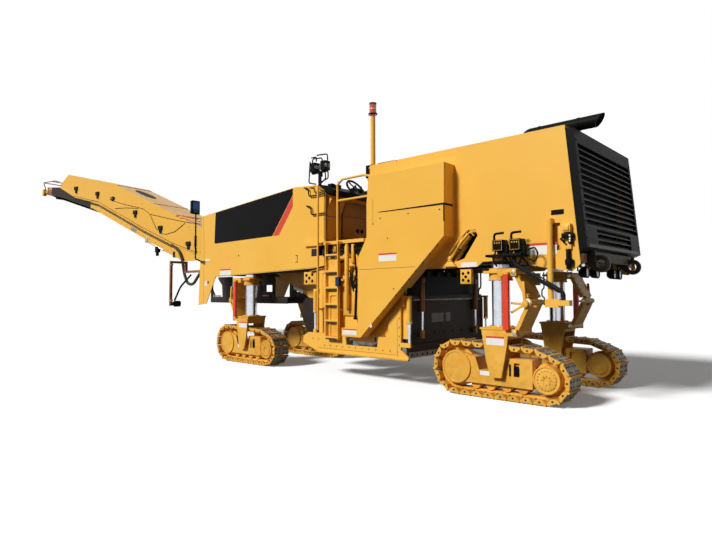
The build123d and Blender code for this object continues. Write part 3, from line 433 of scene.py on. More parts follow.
def runs(points, wide=5):
    return [strip(a, b, wide) for a, b in zip(points, points[1:])]


def dots(spots, r, n=12):
    return [[(x + r * cos(2 * pi * i / n), z + r * sin(2 * pi * i / n)) for i in range(n)] for x, z in spots]


def marks(name, body, mat, y, shapes, thick=0.8, place=machine, twin=False):
    """Thin shapes lying on the panel at y."""
    piece = Piece(name, body, mat, place, bevel=0)
    for shape in shapes:
        piece.side(shape, y, y + thick)
    if twin:
        piece.both()
    piece.done()


def labels(name, body, y, places, place=machine, twin=False, head=0.22):
    """Blank white labels with a plain red head, each (x0, z0, x1, z1)."""
    marks(name + "_white", body, vinyl, y, [rect(*p) for p in places], 0.8, place, twin)
    heads = [rect(x0, z1 - (z1 - z0) * head, x1, z1) for x0, z0, x1, z1 in places]
    marks(name + "_red", body, vinyl_red, y + 0.8, heads, 0.5, place, twin)


def hood_top(x):
    """Height of the front body's sloping top at x."""
    return 3020 - (x - 3670) * 208 / 2780


def lid_top(x):
    """Height of the engine lid's outer face at x."""
    return 3080 + 10 * (x + 870) / 2860 + 25


# ---- front body ----
def front_markings():
    """The bare black field of the side panel with its slanted red stripe, gap lines and blank labels."""
    y = HALF_WIDTH
    field = [(6010, 2838), (3700, 3008), (3700, 2900), (4240, 2250), (6000, 2230), (6030, 2236), (6040, 2262)]
    marks("side_field_black", "machine", vinyl_black, y, [field], 1.2, twin=True)
    marks("side_stripe_red", "machine", vinyl_red, y,
        [[(3700, 2890), (3700, 2700), (4060, 2250), (4225, 2250)]], 1.2, twin=True)
    gaps = runs([(6450, 2808), (6410, 2270), (6410, 1060)], 6) + [strip((3072, 2890), (3094, 1680), 5)]
    gaps += runs([(3110, 1672), (5985, 1592), (6300, 1075)], 4)
    marks("front_gaps", "machine", gap_and_shade_brown, y, gaps, 0.6, twin=True)
    holes = dots([(6250, 1480)], 28) + dots([(5230, 1960)], 16) + [rect(3575, 1765, 3590, 1890),
        rect(3590, 1765, 3630, 1778), rect(3590, 1877, 3625, 1890)]
    marks("front_holes", "machine", gap_and_shade_brown, y, holes, 0.9, twin=True)
    labels("front_labels", "machine", y, [(5480, 1605, 5840, 1725)], twin=True)
    marks("front_labels_small", "machine", vinyl, y,
        [rect(6190, 1905, 6370, 1940), rect(6300, 1412, 6375, 1500)], 0.8, twin=True)
    box = Piece("socket_box", "machine", leg_yellow)
    box.box(3140, 3430, 700, 948, 1402, 1602).both().done()
    sockets = dots([(3230, 1560), (3370, 1550), (3300, 1505), (3230, 1455), (3370, 1450)], 26)
    marks("socket_holes", "machine", black, 948, sockets, 3, twin=True)
    # hooked grab steps up to the hood
    steps = Piece("grab_steps", "machine", black, bevel=0)
    for x0, z0, x1, z1, x2 in ((3385, 2970, 3280, 2815, 2900), (3332, 2668, 3222, 2512, 2900)):
        steps.pipe([(x0, 958, z0), (x0, 992, z0), (x1, 992, z0 - 25), (x1 - 12, 992, z1), (x2, 992, z1)], 11)
    steps.both().done()
    # the hood's top: centre gap, two cross gaps and a row of screws
    top = Piece("hood_top_gaps", "machine", gap_and_shade_brown, bevel=0)
    for x0, x1 in ((3680, 6440),):
        top.loft([[machine(x0, -4, 3020.5), machine(x0, 4, 3020.5), machine(x1, 4, 2813),
            machine(x1, -4, 2813)],
                  [machine(x0, -4, 3021.5), machine(x0, 4, 3021.5), machine(x1, 4, 2814),
                  machine(x1, -4, 2814)]])
    for x in (4600, 5500):
        z = hood_top(x)
        top.loft([[machine(x, -940, z), machine(x + 6, -940, z), machine(x + 6, 940, z), machine(x, 940, z)],
                  [machine(x, -940, z + 1), machine(x + 6, -940, z + 1), machine(x + 6, 940, z + 1),
                  machine(x, 940, z + 1)]])
    top.done()
    spots = []
    for side in (-1, 1):
        for x in range(3750, 6400, 240):
            spots.append(((x, side * 930, hood_top(x)), (0.075, 0, 1)))
    bolts("hood_top_screws", "machine", spots, zinc, 8)


def well():
    """What stands out on the operator's desk and on the wall under it."""
    keys = Piece("desk_keys", "machine", zinc)
    levers = Piece("desk_levers", "machine", black)
    for y in (-700, -560, -180, 0, 180, 560, 700):
        levers.box(3000, 3090, y - 42, y + 42, 2975, 3030)
        keys.rod((3030, y, 3030), (3030, y, 3036), 20)
        keys.rod((3065, y + 18, 3030), (3065, y + 18, 3038), 8)
        keys.rod((3065, y - 18, 3030), (3065, y - 18, 3038), 8)
    for y in (-640, -240, -100, 100, 240, 640):
        levers.rod((2960, y, 2935), (2945, y, 3035), 7)
        levers.rod((2945, y, 3030), (2943, y, 3062), 15)
    keys.done()
    levers.done()
    shade = Piece("desk_screens", "machine", mirror_glass)
    for y in (-300, 300):
        shade.loft([[machine(2905, y - 90, 2915), machine(2985, y - 90, 2962), machine(2985, y + 90, 2962),
            machine(2905, y + 90, 2915)],
                    [machine(2901, y - 90, 2922), machine(2981, y - 90, 2969), machine(2981, y + 90, 2969),
                    machine(2901, y + 90, 2922)]])
    shade.done()
    # the wall: a raised console with cut corners, a gap line, a post and two round switches
    # the console's ochre is painted shade on the yellow wall
    raised = Piece("well_console", "machine", shaded_well_yellow)
    edge = [(430, 2063), (430, 2580), (340, 2775), (-340, 2775), (-430, 2580), (-430, 2063)]
    raised.loft([[machine(x, y, z) for y, z in edge] for x in (3052, 3078)]).done()
    wall = Piece("well_gaps", "machine", gap_and_shade_brown, bevel=0)
    wall.box(3050.6, 3052, -428, 428, 2535, 2541).box(3068, 3070, 432, 940, 2500, 2506).box(3068, 3070, -940,
        -432, 2500, 2506)
    wall.box(3052, 3069, 432, 446, 2063, 2580).box(3052, 3069, -446, -432, 2063, 2580)
    wall.done()
    gusset = Piece("desk_gussets", "machine", yellow)
    gusset.side([(2945, 2560), (2945, 2812), (2838, 2738)], 893, 903).both().done()
    shade = Piece("wing_seams", "machine", gap_and_shade_brown, bevel=0)
    shade.box(2898, 2910, 938, 950, 2066, 2826).both().done()
    buttons = Piece("well_buttons", "machine", black)
    for y in (70, -40):
        buttons.rod((3060, y, 2315), (3044, y, 2315), 36).rod((3044, y, 2315), (3036, y, 2315), 22)
    buttons.done()
    post = Piece("well_post", "machine", burnt)
    post.rod((3052, 520, 2062), (3052, 520, 2848), 14).rod((3052, -520, 2062), (3052, -520, 2848), 14).done()
    bolts("well_screws", "machine", [((3071, y, z), (-1, 0, 0)) for y in (-900, -660, 660, 900)
        for z in (2140, 2500, 2620, 2800)], zinc, 7)
    # deck tread: a grid of raised bars
    tread = Piece("deck_tread", "machine", leg_yellow, bevel=0)
    for i in range(24):
        tread.box(2030 + i * 43, 2040 + i * 43, -930, 930, 2060, 2063)
    tread.done()
    mats = Piece("seat_cushions", "machine", upholstery, bevel=12)
    for y in (-430, 430):
        mats.box(2062, 2110, y - 185, y + 185, 2600, 2985).box(2110, 2345, y - 190, y + 190, 2561, 2610)
    mats.done()
    # black cable bundles in the channel under the deck
    loops = Piece("deck_hoses", "machine", hose, bevel=0)
    for i, (x, z) in enumerate(((2200, 1930), (2380, 1900), (2560, 1940), (2740, 1900), (2900, 1930))):
        loops.pipe([(x - 90, 900, z), (x, 985, z - 30), (x + 100, 900, z + 10)], 12)
        loops.pipe([(x - 60, 940, z - 80), (x + 20, 990, z - 100), (x + 90, 940, z - 60)], 10)
    for x, z in ((2420, 1800), (2620, 1760), (2860, 1780)):
        loops.pipe([(x, 962, z + 150), (x + 20, 1010, z), (x - 40, 1010, z - 160), (x - 30, 962, z - 240)],
            11)
    loops.both().done()
    # the channel's recessed back wall, in the dark chassis colour as painted shade
    dark = Piece("deck_channel", "machine", underbody)
    dark.box(2010, 3060, 880, 900, 1852, 2018).both().done()


def work_lamp_details():
    """Tube frames round the lamps, their lenses and brackets."""
    tubes = Piece("lamp_frames", "machine", black, bevel=0)
    tubes.pipe([(3560, 700, 3480), (3590, 700, 3120), (3420, 700, 3080)], 11)
    tubes.pipe([(3590, 640, 3560), (3470, 640, 3560), (3470, 640, 3480)], 11)
    tubes.pipe([(3330, 760, 3540), (3080, 760, 3520), (3060, 760, 3120), (3280, 700, 3100)], 11)
    tubes.pipe([(3330, 640, 3200), (3330, 640, 3520), (3560, 640, 3540), (3590, 640, 3300)], 11)
    tubes.pipe([(3200, 700, 3282), (3180, 700, 3140), (3290, 700, 3080)], 11)
    tubes.done()
    lens = Piece("lamp_lenses", "machine", lamp_glass)
    rims = Piece("lamp_rims", "machine", zinc)
    for x in (3200, 3440):
        for way in (-1, 1):
            x0 = x - 60 if way < 0 else x + 50
            for y in (670, 730):
                lens.rod((x0, y, 3355), (x0 + way * 4, y, 3355), 26, 22)
                rims.ring((x0, y, 3355), (way, 0, 0), 31, 26, 5)
    lens.done()
    rims.done()


def mast_details():
    base = Piece("mast_base", "machine", yellow)
    base.box(1985, 2085, 770, 900, 2912, 3098).rod((2032, 835, 3098), (2032, 835, 3180), 34).done()
    bar = Piece("mast_bars", "machine", black, bevel=0)
    bar.box(2048, 2078, 915, 945, 2945, 3130).box(1945, 2078, 915, 945, 3100, 3130)
    bar.pipe([(1850, 930, 3085), (1850, 930, 3118), (1535, 930, 3112), (1515, 930, 3085)], 15)
    bar.box(1745, 1775, 915, 945, 2965, 3105)
    bar.pipe([(1975, 962, 2760), (1998, 985, 2810), (1945, 985, 2890), (1960, 962, 2950)], 14)
    bar.done()
    bolts("mast_bolts", "machine", [((x, 901, z), (0, 1, 0)) for x in (2005, 2065) for z in (2940, 3070)],
        zinc, 9)
    cap = Piece("beacon_foot", "machine", black)
    cap.ring((2032, 835, 3903), (0, 0, 1), 68, 54, 20).ring((2032, 835, 4060), (0, 0, 1), 54.5, 40, 21).done()
    guard = Piece("beacon_core", "machine", zinc, bevel=0)
    guard.ring((2032, 835, 3985), (0, 0, 1), 53.2, 51, 8).done()


# ---- belt guard ----
def guard_details():
    y = 1200
    gaps = runs([(1990, 1590), (1010, 1600)], 5) + [strip((1720, 2560), (1720, 2230), 5)]
    marks("guard_gaps", "machine", gap_and_shade_brown, y, gaps, 0.6)
    marks("guard_joint", "machine", black, y, [[(556, 2354), (1500, 2360), (1660, 2366), (1500, 2374),
        (556, 2380)]], 0.8)
    turn = Piece("guard_joint_end", "machine", black, bevel=0)
    turn.box(553.4, 556, 1000, 1215, 2354, 2380).box(553.4, 556, 1188, 1215, 2150, 2354).done()
    marks("guard_dots", "machine", gap_and_shade_brown, y, dots([(1460, 2000), (1110, 2300), (620, 2300), (1590, 2280),
        (1360, 1320), (1720, 2215)], 11), 1.0)
    labels("guard_label", "machine", y, [(1310, 1690, 1620, 1800), (2035, 668, 2310, 752)])
    edge = []
    for i in range(12):
        t = (i + 0.5) / 12
        edge.append(((620 + 1320 * t, 1185, 1910 - 1245 * t), (-0.689, 0, -0.725)))
    bolts("guard_edge_bolts", "machine", edge, gap_and_shade_brown, 10)
    knob = Piece("guard_knob", "machine", chrome)
    knob.rod((1760, 1200, 810), (1760, 1212, 810), 24).done()
    rods = Piece("guard_rod", "machine", black, bevel=0)
    rods.pipe([(2145, 1120, 1950), (2114, 1120, 1580), (2110, 1120, 1230), (2130, 1120, 900)], 13)
    rods.rod((2111, 1120, 1300), (2130, 1120, 905), 19).rod((2130, 1120, 915), (2132, 1120, 885), 27)
    rods.pipe([(2300, 1040, 1560), (2220, 1110, 1420), (2150, 1135, 1290)], 14)
    rods.pipe([(2250, 1040, 1620), (2200, 1110, 1460), (2130, 1135, 1330)], 11)
    rods.done()
    side = Piece("guard_cylinder", "machine", yellow)
    side.rod((2357, 1060, 1040), (2357, 1060, 1960), 34).rod((2357, 1060, 1960), (2357, 1060, 1990), 22)
    side.box(2332, 2382, 985, 1060, 1180, 1230).box(2332, 2382, 960, 1060, 1800, 1850)
    side.rod((2230, 1060, 1700), (2230, 1060, 1975), 26).box(2210, 2330, 1030, 1050, 1660, 1700).box(2380,
        2480, 1000, 1066, 1390, 1430)
    side.box(2400, 2430, 985, 1068, 1360, 1520).box(2395, 2435, 1060, 1106, 1440, 1470).done()
    end = Piece("guard_cylinder_ends", "machine", zinc)
    end.rod((2357, 1060, 1005), (2357, 1060, 1040), 24).rod((2470, 1066, 1450), (2470, 1072, 1450), 22).done()
    meter = Piece("level_sensor", "machine", black, bevel=4)
    meter.box(2436, 2522, 1108, 1140, 1366, 1500).rod((2400, 1040, 1435), (2440, 1110, 1435), 16)
    meter.done()
    marks("level_sensor_face", "machine", mirror_glass, 1140, [rect(2446, 1378, 2512, 1488)], 2)
    # ladder: painted shade as dark strips under each rung's lip and beside its front stringer
    back = Piece("ladder_backs", "machine", leg_yellow)
    back.box(2519, 2761, 1052, 1057, 620, 1790).box(2170, 2500, 1004, 1010, 930, 1500).box(2780, 2930, 1004,
        1010, 1040, 1560)
    back.both().done()
    # these dark strips are painted shade, not parts
    ladder_shade = Piece("ladder_painted_shade", "machine", gap_and_shade_brown, bevel=0)
    for i in range(6):
        z = 590 + 247 * i
        ladder_shade.box(2520, 2760, 1078, 1104, z - 22, z - 0.5)
        if i < 5:
            ladder_shade.box(2780, 2791, 1079, 1082, z + 30, z + 230)
    ladder_shade.both().done()
    hoop = Piece("ladder_hoop", "machine", leg_yellow, bevel=0)
    hoop.pipe([(2700, 1062, 640), (2703, 1062, 1232), (2545, 1062, 1232), (2560, 1062, 640)],
        12).both().done()
    links = Piece("cable_carrier", "machine", black, bevel=2)
    for i in range(22):
        t = i / 21
        links.box(2500 + 740 * t, 2520 + 740 * t, 974, 992, 1722 - 108 * t, 1752 - 108 * t)
    links.both().done()
    tray = Piece("cable_tray", "machine", leg_yellow, bevel=0)
    tray.side(strip((2490, 1718), (3250, 1607), 8), 962, 990).both().done()
    # a dark patch on the front body's panel: painted shade of the recess under the deck edge
    marks("recess_painted_shade_front", "machine", underbody, HALF_WIDTH, [rect(3074, 1850, 3240, 1968)], 0.8, twin=True)
    more = Piece("platform_hoses", "machine", hose, bevel=0)
    for x, z0, z1 in ((2150, 1560, 1280), (2200, 1600, 1240), (2390, 1620, 1200)):
        more.pipe([(x, 990, z0), (x + 30, 1050, (z0 + z1) / 2), (x - 20, 990, z1)], 10)
    more.done()


# ---- rear body ----
def rear_details():
    y = HALF_WIDTH
    labels("rear_labels", "machine", y, [(-755, 1688, -415, 1822)], twin=True)
    marks("rear_label_small", "machine", vinyl, y, [rect(245, 1582, 468, 1640)], 0.8)
    marks("rear_patch", "machine", vinyl_black, y, [rect(-842, 2120, -698, 2177)], 1.0, twin=True)
    gaps = [strip((1985, 3080), (1985, 1580), 5)]
    marks("rear_gaps", "machine", gap_and_shade_brown, y, gaps, 0.6, twin=True)
    # the right side has two doors where the left one has the belt drive
    doors = []
    for x0, x1 in ((-700, 420), (450, 1950)):
        doors += runs([(x0, 2960), (x1, 2960), (x1, 1760), (x0, 1760), (x0, 2960)], 5)
    marks("rear_doors_right", "machine", gap_and_shade_brown, y, doors, 0.6, place=right(machine))
    latch = Piece("rear_latches_right", "machine", black, place=right(machine))
    for x in (-640, 360, 510, 1890):
        latch.box(x - 45, x + 45, y, y + 14, 2330, 2380)
    latch.done()
    top = Piece("lid_gaps", "machine", gap_and_shade_brown, bevel=0)
    top.box(1501, 1505, -950, 950, 3113, 3115.5)
    top.done()
    vents = Piece("lid_vents", "hood", black)
    for x0 in (-640, 40, 720):
        for i in range(9):
            z = lid_top(x0 + i * 50)
            vents.box(x0 + i * 50, x0 + i * 50 + 26, -820, -60, z - 2, z + 9)
    vents.done()
    spots = []
    for x in range(-820, 1480, 230):
        z = lid_top(x)
        spots += [((x, s * 930, z), (0, 0, 1)) for s in (-1, 1)]
    bolts("lid_screws", "hood", spots, zinc, 8)
    stack = Piece("exhaust_clamps", "hood", black)
    for x in (-420, -880):
        stack.ring((x, 600, 3186), (-1, 0, 0), 77, 72.5, 24)
    stack.done()
    foot = Piece("exhaust_foot", "hood", black)
    foot.ring((-250, 600, 3109), (0, 0, 1), 108, 73, 10).done()
    # the slot's cylinder: ball foot outside, barrel, gland and the two thin lines beside it
    foot = Piece("slot_foot", "machine", yellow)
    foot.side([(700, 1592), (520, 1592), (570, 1650), (640, 1655)], 962, 1010).rod((610, 985, 1655),
        (610, 985, 1700), 34, 26)
    foot.rod((610, 985, 1690), (610, 985, 1730), 38, 20).done()
    rod = Piece("slot_barrel", "machine", yellow)
    rod.rod((600, 985, 1700), (470, 985, 1830), 20).rod((480, 985, 1820), (325, 985, 1990), 36).both().done()
    lines = Piece("slot_lines", "machine", yellow, bevel=0)
    lines.pipe([(600, 1012, 1760), (450, 1025, 1930), (330, 1012, 2045), (270, 985, 2030)], 9)
    lines.pipe([(560, 1012, 1720), (440, 1030, 1870), (300, 1020, 2010), (262, 985, 1960)], 9)
    lines.both().done()
    cap = Piece("slot_gland", "machine", black)
    cap.rod((330, 985, 1985), (316, 985, 2000), 38).rod((484, 985, 1816), (476, 985, 1825), 38).both().done()
    # the corner slot's inner wall, and the valve group beside it
    inner = Piece("slot_back", "machine", yellow)
    inner.box(-812, -690, 905, 915, 1722, 2036).both().done()
    motor = Piece("corner_motor", "machine", yellow, bevel=6)
    motor.box(-930, -835, HALF_WIDTH, HALF_WIDTH + 60, 1915, 2008).box(-915, -850, HALF_WIDTH + 60,
        HALF_WIDTH + 72, 1930, 1990)
    motor.box(-925, -850, HALF_WIDTH, HALF_WIDTH + 30, 1730, 1790).both().done()
    valves = Piece("corner_valves", "machine", black, bevel=3)
    valves.box(-955, -825, HALF_WIDTH, HALF_WIDTH + 46, 1850, 1905).box(-940, -900, HALF_WIDTH,
        HALF_WIDTH + 50, 1790, 1850)
    valves.rod((-890, 985, 1515), (-890, 985, 1730), 24).rod((-900, 985, 1560), (-900, 985, 1620),
        44).rod((-870, 1020, 1800), (-820, 1020, 1850), 12)
    valves.both().done()
    knobs = Piece("corner_valve_caps", "machine", zinc)
    for z in (1815, 1840, 1875):
        knobs.rod((-920, HALF_WIDTH + 46, z), (-920, HALF_WIDTH + 60, z), 11)
    knobs.both().done()


def grille_details():
    """Painted highlights along the louvres and the frame's edge, the frame's screws and the lamps under it.
    """
    def face(u, y, z):
        """u mm out from the grille's slanted face."""
        return machine(-960 - (3060 - z) * 120 / 1310 - u, y, z)

    # the grey lines on each louvre and on the frame's edge are painted highlights
    edges = Piece("louvre_edges", "machine", louvre_highlight_grey, place=face, bevel=0)
    for i in range(16):
        z, wide = 2900 - (i + 1) * 70.5, 886 if i < 13 else 588
        edges.box(-5, -1, -wide, wide, z + 3, z + 10)
    edges.done()
    frame_edge = Piece("grille_frame_edge", "machine", louvre_highlight_grey, place=face, bevel=0)
    frame_edge.box(0, 1.5, -892, 892, 1752, 1790).box(0, 1.5, 884, 890, 1790, 2900).done()
    spots = [((0, y, z), (1, 0, 0)) for y in (-918, 918) for z in range(1850, 3040, 180)]
    bolts("grille_screws", "machine", spots, black, 9, place=face)
    box = Piece("rear_corner_box", "machine", burnt)
    box.box(-985, -905, 700, 880, 1590, 1690).both().done()
    tap = Piece("rear_corner_tap", "machine", chrome)
    tap.rod((-960, 780, 1585), (-985, 815, 1560), 18).rod((-930, 850, 1600), (-940, 900, 1590),
        15).both().done()
    lamps = Piece("rear_lamps", "machine", black)
    glass = Piece("rear_lamp_glass", "machine", lamp_glass)
    for y in (570, 300, -300, -570):
        x = -905 if abs(y) > 400 else -925
        lamps.rod((x, y, 1620), (x, y, 1500), 11).rod((x + 58, y, 1488), (x + 34, y, 1488), 34,
            56).rod((x + 34, y, 1488), (x - 30, y, 1488), 56, 63)
        lamps.ring((x - 30, y, 1488), (-1, 0, 0), 63, 50, 9)
        glass.rod((x - 30, y, 1488), (x - 35, y, 1488), 49)
    lamps.done()
    glass.done()


# ---- control pods ----
def pod_details():
    faces = Piece("pod_rims", "machine", leg_yellow, bevel=0)
    body = Piece("pod_cases", "machine", black, bevel=4)
    arms = Piece("pod_arms", "machine", black, bevel=0)
    for x in (-345, -130):
        body.box(x - 67, x + 67, 1027, 1143, 1742, 1873)
        body.rod((x, 1080, 1704), (x, 1080, 1745), 30)
        body.rod((x - 104, 1110, 1690), (x - 106, 1110, 1790), 26, 22).rod((x - 106, 1110, 1790),
            (x - 98, 1110, 1868), 24, 11)
        faces.box(x - 58, x + 58, 1143, 1145, 1750, 1754).box(x - 58, x + 58, 1143, 1145, 1861, 1865)
        faces.box(x - 58, x - 54, 1143, 1145, 1754, 1861).box(x + 54, x + 58, 1143, 1145, 1754, 1861)
        for i in range(3):
            faces.rod((x - 30 + i * 30, 1143, 1836), (x - 30 + i * 30, 1147, 1836), 8)
        arms.pipe([(x + 56, 1100, 1870), (x + 60, 1100, 1948), (x - 62, 1100, 1952)], 14)
        arms.pipe([(x - 50, 1100, 1742), (x - 70, 1120, 1660), (x - 20, 1060, 1600)], 12)
        arms.pipe([(x + 40, 1100, 1742), (x + 80, 1110, 1650), (x + 60, 1040, 1570)], 10)
        arms.pipe([(x - 20, 1080, 1700), (x - 90, 1050, 1620), (x - 100, 1010, 1570)], 11)
    body.box(-423, 23, 962, 1143, 1677, 1707)
    body.both().done()
    faces.both().done()
    arms.both().done()
    tail = Piece("pod_lever", "machine", black)
    tail.pipe([(-470, 1080, 1740), (-560, 1090, 1770), (-600, 1090, 1690), (-560, 1085, 1600),
        (-490, 1075, 1640)], 9)
    tail.both().done()
    # corrugations of the big hose
    ribs = Piece("hose_ribs", "machine", hose, bevel=0)
    a, b = Vector((-330, 1065, 1580)), Vector((-815, 1065, 1285))
    count = 34
    for i in range(count):
        p = a.lerp(b, i / (count - 1))
        ribs.ring(tuple(p), tuple((b - a).normalized()), 29, 22.5, 8, n=12)
    ribs.done()
    plate = Piece("valve_plate", "machine", leg_yellow)
    plate.box(310, 465, 930, 985, 1372, 1552).both().done()
    marks("valve_plate_holes", "machine", black, 985,
        dots([(350, 1510), (350, 1410), (425, 1500), (425, 1420), (388, 1460)], 19), 3, twin=True)
    hang = Piece("dip_rod", "machine", black, bevel=0)
    hang.pipe([(225, 905, 1560), (225, 905, 1330), (258, 905, 1300), (258, 905, 1210), (222, 905, 1190),
        (225, 905, 1075)], 10)
    hang.both().done()


# ---- front guide and mirrors ----
def front_details():
    roller = Piece("guide_roller", "machine", black, bevel=3)
    roller.rod((7187, 1045, 1050), (7187, 1165, 1050), 62).rod((7187, 1165, 1050), (7187, 1215, 1050), 36)
    roller.done()
    brace = Piece("guide_brace", "machine", black, bevel=0)
    brace.pipe([(7150, 1180, 1120), (6990, 1140, 1400), (6760, 1040, 1640)], 19)
    brace.done()
    clamp = Piece("guide_clamps", "machine", zinc)
    clamp.box(7158, 7216, 1214, 1276, 1100, 1140).box(7158, 7216, 1214, 1276, 1840, 1870).box(6640, 6680, 880,
        935, 1682, 1742)
    clamp.done()
    glass = Piece("mirror_glass", "machine", mirror_glass)
    glass.box(6586, 6590, 986, 1116, 2888, 3106)
    glass.both().done()
    case = Piece("mirror_case", "machine", black, bevel=8)
    case.box(6590, 6600, 958, 1142, 2858, 3134).box(6600, 6660, 950, 1136, 2866, 3126).both().done()
    arm = Piece("mirror_grip", "machine", black)
    arm.rod((6620, 1030, 2200), (6620, 1030, 2420), 24).rod((6600, 1030, 2080), (6620, 1030, 2200), 20)
    arm.both().done()
    marks("frame_label", "machine", plate_grey, 481,
        [[(4240, 1400), (3970, 1310), (3980, 1250), (4240, 1340)]], 1.2, twin=True)
    # the collecting conveyor's shoe in front of the milling chamber; its dark side plates are partly painted
    # shade, filling the dark space under the body
    plates = Piece("conveyor_shoe", "machine", underbody)
    plates.side([(3036, 470), (3860, 540), (4030, 800), (4030, 1090), (3950, 1180), (3036, 1180)], 425,
        440).both()
    plates.box(3810, 3850, -425, 425, 560, 600).done()
    # the loading conveyor's lower bearing frame between the cheeks: rail, upright and stays on each side
    nose = Piece("nose_frame", "machine", underbody)
    nose.side(rect(4450, 1070, 6980, 1190), 425, 440)
    nose.side([(6190, 1190), (6540, 1190), (6560, 1430), (6700, 1560), (6700, 1600), (6190, 1600)], 425, 440)
    nose.side(strip((6820, 1190), (6990, 1430), 45), 425, 440).side(rect(6905, 1190, 6980, 1600), 425, 440)
    nose.side(rect(5200, 1190, 5420, 1640), 425, 440).side(rect(4810, 1415, 5200, 1640), 425, 440)
    nose.side(rect(4810, 1190, 4895, 1415), 425, 440).side(rect(4895, 1190, 5200, 1290), 425, 440)
    nose.both()
    for x in (4460, 5600, 6930):
        nose.box(x, x + 40, -425, 425, 1075, 1185)
    nose.done()
    marks("nose_slots", "machine", vinyl_grey, 440,
        [rect(6580, 1195, 6880, 1222), rect(4990, 1205, 5200, 1228)], 1.0, twin=True)


# ---- loading conveyor ----
LATCHES = ((5446, 4006), (4491, 3774), (2959, 3175), (2036, 2746), (1097, 2338))
CABLES = (
    ((3968, 3576), (3494, 3434), (2663, 3241), (2416, 3092), (1827, 2958), (1214, 2824), (711, 2741)),
    ((2416, 3092), (2169, 2728), (1876, 2585), (1539, 2631), (1213, 2794)),
    ((3757, 3335), (3330, 3318), (2849, 3265)),
)
FLANGE = ((5577, 3832), (4454, 3561), (3687, 3235), (2651, 2785), (1645, 2390), (845, 2148))


def conveyor_side(name, place):
    """Latches, wiring, flange and hoses on one side of the conveyor."""
    y = 500
    latch = Piece("latches_" + name, "boom", rubber, place, bevel=4)
    for s, z in LATCHES:
        latch.box(s - 72, s + 62, y, y + 30, z - 36, z + 48)
        latch.side([(s - 52, z - 36), (s + 34, z - 36), (s + 10, z - 128), (s - 44, z - 118)], y, y + 24)
    latch.done()
    metal = Piece("latch_hooks_" + name, "boom", zinc, place)
    for s, z in LATCHES:
        metal.box(s - 42, s - 8, y, y + 9, z - 150, z - 122)
    catch = Piece("catch_" + name, "boom", rubber, place, bevel=4)
    catch.rod((3846, y, 3585), (3846, y + 30, 3585), 62, 48).box(3770, 3930, y, y + 18, 3570, 3625).done()
    metal.rod((3846, y + 28, 3585), (3846, y + 34, 3585), 16).rod((2697, y, 3381), (2697, y + 8, 3381),
        14).rod((1094, y, 2720), (1094, y + 8, 2720), 14)
    metal.done()
    wire = Piece("side_cables_" + name, "boom", gap_and_shade_brown, place, bevel=0)
    for line in CABLES:
        wire.pipe([(s, y + 6, z) for s, z in line], 6, n=8)
    wire.done()
    marks("side_flange_" + name, "boom", gap_and_shade_brown, y, runs(FLANGE, 8), 0.8, place)
    rib = Piece("side_rib_" + name, "boom", yellow, place)
    for a, b in zip(FLANGE[1:], FLANGE[2:]):
        rib.side(strip((a[0], a[1] - 26), (b[0], b[1] - 26), 30), y - 9, y + 6)
    rib.done()
    tubes = Piece("side_hoses_" + name, "boom", hose, place, bevel=0)
    for drop in (62, 92):
        tubes.pipe([(s, 502, z - drop) for s, z in FLANGE[:-1]], 10, n=8)
    tubes.done()
    marks("boom_plate_" + name, "boom", plate_grey, 491,
        [[(3110, 2850), (2900, 2762), (2930, 2690), (3140, 2778)]], 1.2, place)
    belly = [(4790, 3447), (6205, 3862), (6855, 3982), (6855, 4186), (6272, 4129), (5509, 3774), (4790, 3600)]
    marks("boom_belly_" + name, "boom", underbody, 491, [belly], 1.5, place)
    skirt = Piece("cover_skirt_" + name, "boom", yellow, place)
    skirt.side([(6265, 4129), (5509, 3778), (4720, 3584), (4720, 3720), (5509, 3930), (6150, 4150)], 490,
        499).done()
    end = Piece("beam_end_" + name, "boom", yellow, place)
    end.box(4740, 4792, 440, 494, 3428, 3560).done()
    spots = [((a[0] + (b[0] - a[0]) * t, 491, a[1] + (b[1] - a[1]) * t), (0, 1, 0)) for a,
        b in zip(((4600, 3440),), ((1350, 2060),)) for t in [i / 15 for i in range(16)]]
    bolts("boom_side_bolts_" + name, "boom", spots, yellow, 10, place=place)


